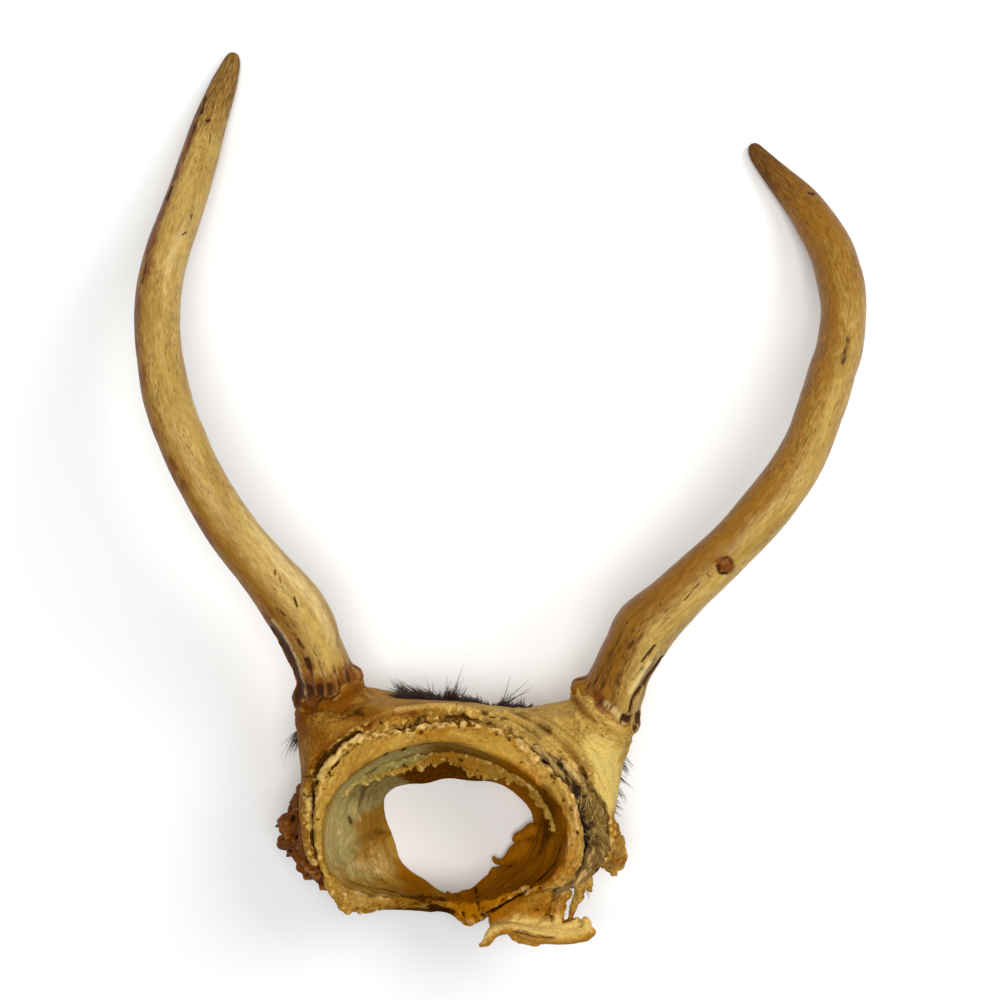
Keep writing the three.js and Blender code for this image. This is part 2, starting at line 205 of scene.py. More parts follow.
def from_path(points: Array, path: Array) -> tuple[Array, Array]:
    """Distance from points to a path, and how far along it the nearest spot is.

    Args:
        points: Rows of coordinates.
        path: Rows of coordinates of the same width.

    Returns:
        The distance to the path, and the fraction of its rows passed at the nearest spot.
    """
    best = np.full(len(points), np.inf)
    along = np.zeros(len(points))
    for i in range(len(path) - 1):
        side = path[i + 1] - path[i]
        share = np.clip((points - path[i]) @ side / max(side @ side, 1e-9), 0.0, 1.0)
        gap = np.linalg.norm(points - path[i] - share[:, None] * side, axis=1)
        nearer = gap < best
        best[nearer] = gap[nearer]
        along[nearer] = (i + share[nearer]) / (len(path) - 1)
    return best, along


# ------------------------ meshes from fields


@dataclass(frozen=True)
class Stroke:
    """Mark on upward surfaces, drawn in plan: a path, its width, and what it does there."""

    path: tuple[Spot, ...]
    width: float
    tone: Tone
    amount: float
    push: float  # how far it lifts the surface; below 0 it sinks it
    low: float = -9.0  # heights between which it acts
    high: float = 99.0


def streak(tone: Tone, width: float, amount: float, push: float, *path: Spot) -> Stroke:
    """Streak of one tone; a push above 0 makes it a ridge."""
    return Stroke(path, width, tone, amount, push)


def mark(width: float, amount: float, push: float, *path: Spot) -> Stroke:
    """Dark crack or scar, drawn at 0.8 of the width and 0.75 of the amount given."""
    return Stroke(path, 0.8 * width, SOIL, 0.75 * amount, push)


@dataclass
class Skin:
    """Mesh in the making: vertices in millimetres, faces, its noise and a mask for each tone."""

    points: Array
    faces: Array
    grain: Array | None = None
    noise: Noise | None = None
    masks: dict[Tone, Array] = field(default_factory=dict)

    def __post_init__(self) -> None:
        """Start with clean masks and a grain that follows space."""
        for tone in Tone:
            self.masks.setdefault(tone, np.zeros(len(self.points)))
        if self.grain is None:
            self.grain = self.points.copy()

    def normals(self) -> Array:
        """Unit normal at each vertex.

        Returns:
            One unit vector for each vertex.
        """
        a, b, c, d = (self.points[self.faces[:, k]] for k in (0, 1, 2, -1))
        face = np.cross(c - a, d - b) if self.faces.shape[1] == 4 else np.cross(b - a, c - a)
        total = np.zeros_like(self.points)
        for axis in range(3):
            for k in range(self.faces.shape[1]):
                corner = self.faces[:, k]
                total[:, axis] += np.bincount(corner, face[:, axis], len(self.points))
        return total / np.maximum(np.linalg.norm(total, axis=1, keepdims=True), 1e-9)

    def spread(self, values: Array, passes: int) -> Array:
        """Values averaged with their neighbours, over and over.

        Args:
            values: One row for each vertex.
            passes: How many times it is done.

        Returns:
            The averaged rows.
        """
        ends = np.vstack([self.faces, np.roll(self.faces, 1, axis=1)]).T.reshape(-1)
        other = np.vstack([np.roll(self.faces, 1, axis=1), self.faces]).T.reshape(-1)
        count = np.maximum(np.bincount(ends, minlength=len(self.points)), 1)
        columns = values.reshape(len(values), -1).astype(float)
        for _ in range(passes):
            summed = [np.bincount(ends, c[other], len(self.points)) for c in columns.T]
            columns = 0.5 * columns + 0.5 * (np.array(summed) / count).T
        return columns.reshape(values.shape)

    def relax(self, passes: int) -> None:
        """Even out the steps that the field's grid leaves."""
        self.points = self.spread(self.points, passes)

    def push(self, distance: Array) -> None:
        """Move each vertex out along its normal."""
        self.points = self.points + self.normals() * np.asarray(distance)[:, None]

    def rough(self, size: float, layers: int, shift: float = 0.0) -> Array:
        """Noise at each vertex; another shift gives another pattern."""
        return self.noise.layered(self.points + shift, size, layers)

    def hollows(self, passes: int) -> Array:
        """Depth of each vertex under its surroundings, in millimetres; below 0 on crests."""
        away = self.spread(self.points, passes) - self.points
        return np.einsum("ij,ij->i", away, self.normals())

    def stain(self, tone: Tone, amount: Array) -> None:
        """Deepen one mask to at least these amounts."""
        self.masks[tone] = np.clip(np.maximum(self.masks[tone], amount), 0.0, 1.0)

    def draw(self, strokes: Sequence[Stroke]) -> None:
        """Apply strokes to what faces up, with ragged edges.

        Args:
            strokes: The marks, in plan.
        """
        plan = Plan.of(self.points)
        ragged = self.rough(3, 3)
        upward = fade(self.normals()[:, 2], -0.12, 0.1)
        height = self.points[:, 2]
        lift = np.zeros(len(self.points))
        for stroke in strokes:
            path = np.array(stroke.path, float)
            if len(path) > 2:
                path = smooth_path(path, 6)
            away = 3.0 * stroke.width
            near = np.all((plan > path.min(axis=0) - away) & (plan < path.max(axis=0) + away), axis=1)
            near &= (height > stroke.low) & (height < stroke.high)
            gap, _ = from_path(plan[near], path)
            reach = stroke.width * (1.0 + 0.45 * ragged[near])
            share = np.exp(-((gap / reach) ** 2)) * upward[near]
            self.masks[stroke.tone][near] += stroke.amount * share
            lift[near] += stroke.push * share
        for tone in Tone:
            self.masks[tone] = np.clip(self.masks[tone], 0.0, 1.0)
        if np.any(lift):
            self.push(lift)

    def build(self, name: str, finish: "Finish", *nodes: str) -> bpy.types.Object:
        """Make the Blender object, dress it and tie it to the frame.

        Args:
            name: Name of the piece.
            finish: Its material.
            *nodes: The CAD nodes that it stands for.

        Returns:
            The new object.
        """
        mesh = bpy.data.meshes.new(name)
        mesh.from_pydata((self.points * MM).tolist(), [], self.faces.tolist())
        for tone in Tone:
            layer = mesh.attributes.new(tone.value, "FLOAT", "POINT")
            layer.data.foreach_set("value", self.masks[tone].astype(np.float32))
        layer = mesh.attributes.new("grain", "FLOAT_VECTOR", "POINT")
        layer.data.foreach_set("vector", self.grain.astype(np.float32).ravel())
        mesh.validate()
        mesh.shade_smooth()
        mesh.materials.append(finish.material())
        piece = bpy.data.objects.new(name, mesh)
        bpy.context.scene.collection.objects.link(piece)
        if nodes:
            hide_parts(*nodes)
        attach(piece, "root")
        LOG.info("%s: %d vertices, %d faces", name, len(self.points), len(self.faces))
        return piece


class Plan:
    """Plan view with a little perspective: sight lines run from an eye high over the object."""

    EYE = np.array([-1.0, -4.0, 613.0])
    LEVEL = 30.0

    @classmethod
    def of(cls, points: Array) -> Array:
        """Where the sight line through each point meets the plan's level."""
        shrink = (cls.EYE[2] - cls.LEVEL) / (cls.EYE[2] - points[:, 2:3])
        return cls.EYE[:2] + (points[:, :2] - cls.EYE[:2]) * shrink


def bumps(points: Array, spots: Array, sizes: Array, rises: Array) -> Array:
    """Height of round bumps over a surface.

    Args:
        points: The surface's vertices.
        spots: Centre of each bump.
        sizes: Radius of each bump.
        rises: Height of each bump.

    Returns:
        The highest bump's height at each vertex.
    """
    total = np.zeros(len(points))
    for spot, size, rise in zip(spots, sizes, rises):
        near = np.abs(points[:, 0] - spot[0]) < 2.0 * size
        gap = np.linalg.norm(points[near] - spot, axis=1) / size
        total[near] = np.maximum(total[near], rise * np.sqrt(np.clip(1.0 - gap * gap, 0.0, 1.0)))
    return total


def surface_of(
    shape: Field, low: Sequence[float], high: Sequence[float], step: float, noise: Noise
) -> Skin:
    """Mesh of the zero surface of a field that is negative inside.

    Each grid cell that the surface crosses gets one vertex at the mean of the crossings on its
    edges, and each grid edge that crosses it gets one quad.

    Args:
        shape: The field, in millimetres.
        low: Lowest corner of the box to mesh.
        high: Highest corner of the box.
        step: Width of a grid cell.
        noise: Noise for the mesh's later steps.

    Returns:
        The mesh.
    """
    axes = [np.arange(a, b + step, step) for a, b in zip(low, high)]
    grid = np.stack(np.meshgrid(*axes, indexing="ij"), axis=-1)
    slabs = [shape(slab.reshape(-1, 3)).reshape(slab.shape[:2]) for slab in grid]
    values = np.stack(slabs).astype(np.float32)
    inside = values < 0
    cells = tuple(size - 1 for size in values.shape)
    count = np.zeros(cells, np.int8)
    offsets = [np.array([c & 1, c >> 1 & 1, c >> 2 & 1]) for c in range(8)]
    for offset in offsets:
        window = tuple(slice(o, o + size) for o, size in zip(offset, cells))
        count += inside[window]
    active = (count > 0) & (count < 8)
    where = np.argwhere(active)
    number = np.full(cells, -1, np.int64)
    number[active] = np.arange(len(where))
    corner = [values[tuple((where + offset).T)] for offset in offsets]
    total = np.zeros((len(where), 3))
    crossings = np.zeros(len(where))
    for c in range(8):
        for axis in range(3):
            if c >> axis & 1:
                continue
            a, b = corner[c], corner[c | 1 << axis]
            crossed = (a < 0) != (b < 0)
            share = np.where(crossed, a / np.where(crossed, a - b, 1.0), 0.0)
            spot = offsets[c] + share[:, None] * np.eye(3)[axis]
            total += spot * crossed[:, None]
            crossings += crossed
    points = (where + total / crossings[:, None]) * step + np.array(low)
    quads = []
    for axis in range(3):
        first = np.moveaxis(inside, axis, 0)[:-1]
        last = np.moveaxis(inside, axis, 0)[1:]
        for leaving in (True, False):
            crossed = (first & ~last) if leaving else (~first & last)
            edges = np.moveaxis(crossed, 0, axis)
            at = np.argwhere(edges)
            b, c = (axis + 1) % 3, (axis + 2) % 3
            keep = (at[:, b] > 0) & (at[:, c] > 0)
            keep &= (at[:, b] < cells[b]) & (at[:, c] < cells[c])
            at = at[keep]
            ring = []
            for db, dc in ((1, 1), (0, 1), (0, 0), (1, 0)):
                cell = at.copy()
                cell[:, b] -= db
                cell[:, c] -= dc
                ring.append(number[tuple(cell.T)])
            quads.append(np.stack(ring if leaving else ring[::-1], axis=1))
    skin = Skin(points, np.vstack(quads), noise=noise)
    skin.relax(1)
    return skin


# ------------------------ finishes


Socket = bpy.types.NodeSocket
Color = tuple[int, int, int]


class Pen:
    """Small helper that adds nodes to a tree and wires them."""

    def __init__(self, tree: bpy.types.NodeTree) -> None:
        """Work on one node tree."""
        self.tree = tree

    def node(self, kind: str, inputs: dict[str | int, object], **settings: object) -> bpy.types.Node:
        """Add a node.

        Args:
            kind: Its type.
            inputs: A socket to wire or a constant to set, for each input.
            **settings: The node's own properties.

        Returns:
            The new node.
        """
        made = self.tree.nodes.new(kind)
        for name, value in settings.items():
            setattr(made, name, value)
        for name, value in inputs.items():
            if isinstance(value, Socket):
                self.tree.links.new(value, made.inputs[name])
            else:
                made.inputs[name].default_value = value
        return made

    def math(self, operation: str, a: object, b: object) -> Socket:
        """Math node on two values."""
        return self.node("ShaderNodeMath", {0: a, 1: b}, operation=operation).outputs[0]

    def mix(self, share: object, a: object, b: object) -> Socket:
        """Colour between two colours."""
        inputs = {"Factor": share, 6: a, 7: b}
        return self.node("ShaderNodeMix", inputs, data_type="RGBA").outputs[2]

    def ramp(self, value: Socket, low: float, high: float) -> Socket:
        """Stretch a value smoothly.

        Args:
            value: The value.
            low: Where it becomes 0; it may be the higher of the two.
            high: Where it becomes 1.

        Returns:
            The stretched value.
        """
        ends = {"From Min": min(low, high), "From Max": max(low, high)}
        ends |= {"To Min": float(low > high), "To Max": float(low <= high)}
        node = self.node("ShaderNodeMapRange", {"Value": value, **ends}, interpolation_type="SMOOTHSTEP")
        return node.outputs["Result"]

    def noise(self, vector: Socket, scale: float, detail: float, roughness: float) -> Socket:
        """Noise texture on a vector."""
        inputs = {"Vector": vector, "Scale": scale, "Detail": detail, "Roughness": roughness}
        return self.node("ShaderNodeTexNoise", inputs).outputs["Fac"]


class Group:
    """Shader node group that the materials share, built the first time that it is asked for."""

    name: str
    inputs: dict[str, str]
    outputs: dict[str, str]

    @classmethod
    def tree(cls) -> bpy.types.NodeTree:
        """Build the group once.

        Returns:
            Its node tree.
        """
        known = bpy.data.node_groups.get(cls.name)
        if known:
            return known
        tree = bpy.data.node_groups.new(cls.name, "ShaderNodeTree")
        for way, sockets in (("INPUT", cls.inputs), ("OUTPUT", cls.outputs)):
            for name, kind in sockets.items():
                tree.interface.new_socket(name, in_out=way, socket_type="NodeSocket" + kind)
        pen = Pen(tree)
        pen.node("NodeGroupOutput", cls.wire(pen, pen.node("NodeGroupInput", {}).outputs))
        return tree

    @classmethod
    def wire(cls, pen: Pen, given: bpy.types.NodeOutputs) -> dict[str, Socket]:
        """Lay the group's nodes from its inputs to its outputs."""
        raise NotImplementedError


class Weathering(Group):
    """The four tones over a base colour, with broken edges."""

    name = "weathering"
    inputs = {"Vector": "Vector", "Mottle": "Float", "Fleck": "Float"}
    inputs |= {name: "Color" for name in ("Base", "Mottled", "Soil", "Pale", "Rust", "Wash")}
    inputs |= {name: "Float" for name in ("Soil mask", "Pale mask", "Rust mask", "Wash mask")}
    outputs = {"Color": "Color", "Dark_cover": "Float"}

    @classmethod
    def wire(cls, pen: Pen, given: bpy.types.NodeOutputs) -> dict[str, Socket]:
        """Mottle the base, fleck it, and lay the tones over each other.

        Args:
            pen: Adds the nodes.
            given: The group's inputs.

        Returns:
            The colour, and how far the dark soil tone, grime with painted shade, covers each spot.
        """
        blotch = pen.noise(given["Vector"], 0.16, 5, 0.6)
        specks = pen.noise(given["Vector"], 1.1, 3, 0.7)
        wide = pen.math("MULTIPLY", pen.ramp(blotch, 0.35, 0.68), given["Mottle"])
        color = pen.mix(wide, given["Base"], given["Mottled"])
        dusky = pen.ramp(pen.noise(given["Vector"], 0.9, 6, 0.75), 0.5, 0.7)
        color = pen.mix(pen.math("MULTIPLY", dusky, given["Fleck"]), color, given["Rust"])
        light = pen.ramp(pen.noise(given["Vector"], 1.7, 5, 0.75), 0.53, 0.75)
        color = pen.mix(pen.math("MULTIPLY", light, given["Fleck"]), color, given["Pale"])
        jitter = pen.math("MULTIPLY", pen.math("SUBTRACT", specks, 0.5), 1.1)
        # the last tone, soil, is grime with painted shade, and its cover also sets the roughness
        for name in ("Wash", "Rust", "Pale", "Soil"):
            mask = given[name + " mask"]
            rough = pen.math("ADD", mask, pen.math("MULTIPLY", jitter, pen.ramp(mask, 0.0, 0.3)))
            cover = pen.ramp(rough, 0.08, 0.85)
            color = pen.mix(cover, color, given[name])
        return {"Color": color, "Dark_cover": cover}


class FineGrain(Group):
    """Fine streaks and sparse pores, as a height for bump and as values for colour."""

    name = "fine_grain"
    inputs = {"Vector": "Vector", "Scale": "Float", "Pores": "Float", "Streaks": "Float"}
    outputs = {"Height": "Float", "Speck": "Float", "Streak": "Float"}

    @classmethod
    def wire(cls, pen: Pen, given: bpy.types.NodeOutputs) -> dict[str, Socket]:
        """Streak the surface and pit it.

        Args:
            pen: Adds the nodes.
            given: The group's inputs.

        Returns:
            The height, the pores and the streaks.
        """
        scaled = {0: given["Vector"], "Scale": given["Scale"]}
        place = pen.node("ShaderNodeVectorMath", scaled, operation="SCALE").outputs[0]
        streak = pen.noise(place, 1.0, 5, 0.65)
        pits = pen.node("ShaderNodeTexVoronoi", {"Vector": place, "Scale": 1.4}, feature="F1")
        hole = pen.ramp(pits.outputs["Distance"], 0.36, 0.2)
        sparse = pen.ramp(pen.noise(place, 0.23, 2, 0.5), 0.46, 0.62)
        speck = pen.math("MULTIPLY", pen.math("MULTIPLY", hole, sparse), given["Pores"])
        height = pen.math("SUBTRACT", pen.math("MULTIPLY", streak, given["Streaks"]), speck)
        return {"Height": height, "Speck": speck, "Streak": pen.ramp(streak, 0.3, 0.7)}


def linear(color: Color) -> tuple[float, ...]:
    """Linear colour with an alpha of 1, from a display colour of 0 to 255."""
    shares = (channel / 255.0 for channel in color)
    return (*(s / 12.92 if s <= 0.04045 else ((s + 0.055) / 1.055) ** 2.4 for s in shares), 1.0)


@dataclass(frozen=True)
class Finish:
    """Surface of one kind of tissue: its colours from 0 to 255, its gloss and its grain."""

    name: str
    slot: str
    base: Color
    mottled: Color
    wash: Color
    rust: Color
    pale: Color
    soil: Color
    mottle: float = 0.6
    fleck: float = 0.5
    roughness: float = 0.5
    soil_and_shade_roughness: float = 0.8
    grain_scale: float = 1.0
    pores: float = 0.5
    streaks: float = 0.6
    bump: float = 0.25
    bump_height: float = 0.0003
    pore_color: tuple[float, float, float, float] = (0.06, 0.03, 0.01, 1.0)
    shine: float = 0.07
    contrast: float = 0.4

    def material(self) -> bpy.types.Material:
        """Build the material the first time that it is asked for.

        Returns:
            The material.
        """
        known = bpy.data.materials.get(self.name)
        if known:
            return known
        material = bpy.data.materials.new(self.name)
        material.use_nodes = True
        material.node_tree.nodes.clear()
        pen = Pen(material.node_tree)
        grain = pen.node("ShaderNodeAttribute", {}, attribute_name="grain").outputs["Vector"]
        inputs = {"Vector": grain, "Mottle": self.mottle, "Fleck": self.fleck}
        for name in ("base", "mottled", "wash", "rust", "pale", "soil"):
            inputs[name.capitalize()] = linear(getattr(self, name))
        for tone in Tone:
            mask = pen.node("ShaderNodeAttribute", {}, attribute_name=tone.value)
            inputs[tone.value.capitalize() + " mask"] = mask.outputs["Fac"]
        weather = pen.node("ShaderNodeGroup", inputs, node_tree=Weathering.tree())
        inputs = {"Scale": self.grain_scale, "Pores": self.pores, "Streaks": self.streaks}
        fine = pen.node("ShaderNodeGroup", {"Vector": grain, **inputs}, node_tree=FineGrain.tree())
        color = pen.mix(fine.outputs["Speck"], weather.outputs["Color"], self.pore_color)
        lift = pen.math("MULTIPLY", fine.outputs["Streak"], self.contrast)
        lift = pen.math("ADD", lift, 1.0 - self.contrast / 2)
        light = pen.node("ShaderNodeHueSaturation", {"Color": color, "Value": lift})
        bump = {"Strength": self.bump, "Distance": self.bump_height, "Height": fine.outputs["Height"]}
        gloss = {"Value": weather.outputs["Dark_cover"], "To Min": self.roughness, "To Max": self.soil_and_shade_roughness}
        dressed = {
            "Base Color": light.outputs["Color"],
            "Roughness": pen.node("ShaderNodeMapRange", gloss).outputs["Result"],
            "Normal": pen.node("ShaderNodeBump", bump).outputs["Normal"],
            "Specular IOR Level": self.shine,
        }
        shader = pen.node("ShaderNodeBsdfPrincipled", dressed)
        pen.node("ShaderNodeOutputMaterial", {"Surface": shader.outputs["BSDF"]})
        return material


ANTLER = Finish(
    "weathered_antler", "antler",
    base=(188, 156, 82), mottled=(158, 122, 54), wash=(138, 92, 22),
    rust=(116, 62, 8), pale=(216, 188, 126), soil=(66, 34, 10),
    mottle=0.9, fleck=0.5, roughness=0.4, pores=0.6, streaks=0.6, bump=0.4, shine=0.16,
    contrast=0.3,
)
BONE = Finish(
    "dry_bone", "bone",
    base=(180, 140, 58), mottled=(150, 106, 32), wash=(184, 168, 104),
    rust=(156, 97, 4), pale=(222, 190, 124), soil=(64, 31, 1),
    mottle=0.9, fleck=0.6, roughness=0.5, grain_scale=1.1, pores=0.4, streaks=0.6, bump=0.6,
    bump_height=0.0005, shine=0.0,
)
CRUMB = Finish(
    "spongy_bone", "bone",
    base=(180, 130, 40), mottled=(148, 96, 20), wash=(210, 174, 96),
    rust=(142, 86, 4), pale=(216, 180, 98), soil=(84, 46, 4),
    mottle=0.8, fleck=0.6, roughness=0.55, grain_scale=1.6, pores=0.6, streaks=0.8, bump=0.6,
    shine=0.02,
)
HIDE = Finish(
    "dry_hide", "hide",
    base=(168, 122, 44), mottled=(134, 90, 20), wash=(208, 180, 98),
    rust=(116, 64, 2), pale=(206, 168, 90), soil=(66, 38, 4),
    mottle=0.9, fleck=0.6, roughness=0.55, grain_scale=1.3, pores=0.3, streaks=0.8, bump=0.7,
    bump_height=0.0005, shine=0.04, contrast=0.26,
)
FLESH = Finish(
    "dried_flesh", "flesh",
    base=(124, 70, 16), mottled=(88, 45, 10), wash=(168, 114, 40),
    rust=(82, 30, 4), pale=(160, 102, 36), soil=(38, 12, 2),
    mottle=0.8, fleck=0.7, roughness=0.45, grain_scale=1.5, pores=0.5, streaks=0.9, bump=0.9,
    bump_height=0.0005,
)
FIBRE = Finish(
    "torn_fibre", "fibre",
    base=(176, 134, 54), mottled=(134, 96, 32), wash=(222, 194, 124),
    rust=(138, 80, 14), pale=(216, 184, 106), soil=(66, 42, 16),
    mottle=0.8, fleck=0.6, roughness=0.65, grain_scale=1.6, pores=0.4, streaks=0.9, bump=0.6,
)
MATTED = Finish(
    "matted_fibre", "fibre",
    base=(138, 106, 58), mottled=(100, 74, 40), wash=(156, 126, 74),
    rust=(120, 78, 26), pale=(196, 162, 98), soil=(48, 30, 16),
    mottle=0.9, fleck=0.7, roughness=0.7, grain_scale=1.8, pores=0.4, streaks=1.0, bump=0.8,
)
LINING = Finish(
    "dry_lining", "lining",
    base=(176, 136, 52), mottled=(144, 102, 32), wash=(150, 138, 78),
    rust=(150, 96, 14), pale=(216, 184, 104), soil=(74, 44, 4),
    mottle=0.8, fleck=0.6, roughness=0.5, grain_scale=1.5, pores=0.4, streaks=0.9, bump=0.6,
    shine=0.0,
)
HAIR = Finish(
    "dark_hair", "hair",
    base=(50, 30, 22), mottled=(34, 20, 14), wash=(78, 52, 36),
    rust=(60, 34, 22), pale=(104, 80, 60), soil=(22, 14, 10),
    fleck=0.2, roughness=0.5, pores=0.0, streaks=0.4, bump=0.0, shine=0.3,
)


# ------------------------ form of the skull


@dataclass(frozen=True)
class SkullForm:
    """Sizes of the ring: the cavity's leaning axis and the outlines about it."""

    rear_cut: float = 51.0
    cavity_front: tuple[float, float] = (-16.6, -98.8)
    cavity_rear: tuple[float, float] = (-15.3, -90.9)
    bulge: float = 1.5
    flare: float = 0.8
    flesh_depth: float = 6.5
    flesh_middle: float = 2.0
    flesh_reach: float = 36.0
    horizon: float = 28.0
    scalp_front: float = 1.5
    scalp_rear: float = 48.0
    scalp_edge: float = 2.6
    front_hole: Outline = Outline(
        (0, 25), (17, 22.4), (28, 20.3), (40, 18), (57, 14.1), (90, 12.2), (122, 12.7),
        (137, 15.3), (150, 18.3), (158, 19.1), (172, 17.5), (188, 15.6), (203, 15.3),
        (219, 16.5), (235, 17.1), (251, 17.9), (259, 19.2), (268, 20.6), (287, 21.3),
        (299, 20.6), (311, 19.7), (328, 20.6), (341, 20.5), (353, 24.1),
    )
    front_outer: Outline = Outline(
        (0, 33), (45, 30.5), (90, 29.4), (135, 32.4), (165, 33.6), (210, 32), (240, 28),
        (270, 25), (300, 27), (330, 31),
    )
    rim_inner: Outline = Outline(
        (4, 31), (25, 26.2), (55, 21.9), (90, 21.6), (124, 23.5), (150, 28), (180, 33.5),
        (214, 33), (240, 23.6), (258, 20.8), (274, 22), (290, 24), (312, 26), (334, 32.8),
    )
    rim_outer: Outline = Outline(
        (8, 35), (31, 30.8), (60, 28.9), (90, 26.7), (118, 27.8), (126, 29.6), (134, 32.4),
        (143, 34.2), (152, 35.4), (160, 36.4), (172, 36.2),
        (203, 36.5), (213, 37.4), (221, 37.2), (227, 34), (234, 29.8), (243, 26), (258, 24.3),
        (272, 25.6), (283, 29.2), (297, 28), (318, 29.2), (333, 36.6),
    )
    rim_height: Outline = Outline(
        (0, 51), (90, 51), (180, 51), (205, 50), (222, 42), (240, 33), (270, 31), (292, 34),
        (316, 38), (332, 47), (346, 51),
    )
    scalp_outer: Outline = Outline(
        (-8, 42), (2, 46), (15, 50.3), (21, 52.6), (36, 49), (46, 43), (52, 39.6), (62, 36),
        (76, 34), (90, 33.7), (107, 35.8), (116, 38), (131, 44), (146, 48.6), (152, 46.8),
        (160, 42.8), (175, 41.4), (196, 39.4), (220, 38),
    )

    def polar(self, points: Array) -> tuple[Array, Array]:
        """Bearing and radius of points about the cavity axis.

        Args:
            points: Rows of [x, y, z].

        Returns:
            Bearing in degrees, and radius.
        """
        share = np.clip(points[:, 2:3] / self.rear_cut, -0.2, 1.2)
        front, rear = np.array(self.cavity_front), np.array(self.cavity_rear)
        flat = points[:, :2] - (front + (rear - front) * share)
        return np.degrees(np.arctan2(flat[:, 1], flat[:, 0])), np.linalg.norm(flat, axis=1)

    def place(self, bearing: Array, radius: Array, height: Array) -> Array:
        """Points at a bearing, radius and height.

        Args:
            bearing: Degrees about the cavity's axis.
            radius: Distance from the cavity's axis.
            height: Height over the front cut.

        Returns:
            Rows of [x, y, z].
        """
        share = (np.asarray(height) / self.rear_cut)[:, None]
        front, rear = np.array(self.cavity_front), np.array(self.cavity_rear)
        angle = np.radians(bearing)
        flat = front + (rear - front) * share
        flat = flat + np.stack([np.cos(angle), np.sin(angle)], axis=1) * radius[:, None]
        return np.column_stack([flat, height])

    def rim(self, bearing: Array) -> Array:
        """Height of the rear rim."""
        return np.minimum(self.rim_height(bearing), self.rear_cut)

    def inside(self, bearing: Array, height: Array) -> Array:
        """Radius of the cavity wall.

        Args:
            bearing: Degrees about the cavity's axis.
            height: Height over the front cut.

        Returns:
            One radius for each place.
        """
        rise = np.clip(height / self.rim(bearing), 0.0, 1.0)
        flare = np.sin(rise * math.pi / 2) ** self.flare
        hole = self.front_hole(bearing)
        return hole + (self.rim_inner(bearing) - hole) * flare

    def outside(self, bearing: Array, height: Array) -> Array:
        """Radius of the bone's outer face.

        Args:
            bearing: Degrees about the cavity's axis.
            height: Height over the front cut.

        Returns:
            One radius for each place.
        """
        rise = np.clip(height / self.rim(bearing), 0.0, 1.0)
        front = self.front_outer(bearing)
        swell = self.bulge * np.sin(rise * math.pi)
        return front + (self.rim_outer(bearing) - front) * rise + swell

    def flesh(self, bearing: Array) -> Array:
        """Depth of the dried muscle on the right flank.

        Args:
            bearing: Degrees about the cavity's axis.

        Returns:
            One depth for each bearing.
        """
        turn = np.mod(bearing + 180.0, 360.0) - 180.0 - self.flesh_middle
        share = np.clip(np.abs(turn) / self.flesh_reach, 0.0, 1.0)
        return self.flesh_depth * np.cos(share * math.pi / 2)

    def scalp_inside(self, bearing: Array, height: Array) -> Array:
        """Radius of the skin's inner face."""
        return self.outside(bearing, height) + self.flesh(bearing) + 0.5

    def scalp_outside(self, bearing: Array, height: Array) -> Array:
        """Radius of the skin's outer face: widest at the horizon, drawn in at both cuts.

        Args:
            bearing: Degrees about the cavity's axis.
            height: Height over the front cut.

        Returns:
            One radius for each place.
        """
        above = height > self.horizon
        end = np.where(above, self.scalp_rear, self.scalp_front)
        edge = self.scalp_inside(bearing, end) + self.scalp_edge
        away = np.clip((height - self.horizon) / (end - self.horizon), 0.0, 1.0)
        widest = np.maximum(self.scalp_outer(bearing), edge)
        swell = edge + (widest - edge) * np.sqrt(1.0 - away * away)
        return np.maximum(swell, self.scalp_inside(bearing, height) + 1.2)


FORM = SkullForm()


def rod(points: Array, stations: Sequence[Sequence[float]], steps: int = 6) -> Array:
    """Field of a round bar of changing girth through [x, y, z, radius] stations.

    Args:
        points: Rows of [x, y, z].
        stations: Rows of [x, y, z, radius].
        steps: Points made between each two stations.

    Returns:
        Distance from each point to the bar's surface, below 0 inside.
    """
    path = smooth_path(stations, steps)
    gap, along = from_path(points, path[:, :3])
    girth = np.interp(along, np.linspace(0.0, 1.0, len(path)), path[:, 3])
    return gap - girth


# ------------------------ antlers


@dataclass(frozen=True)
class Knob:
    """Large bump of a burr: its angle in degrees, height, radius and rise."""

    angle: float
    height: float
    radius: float
    rise: float


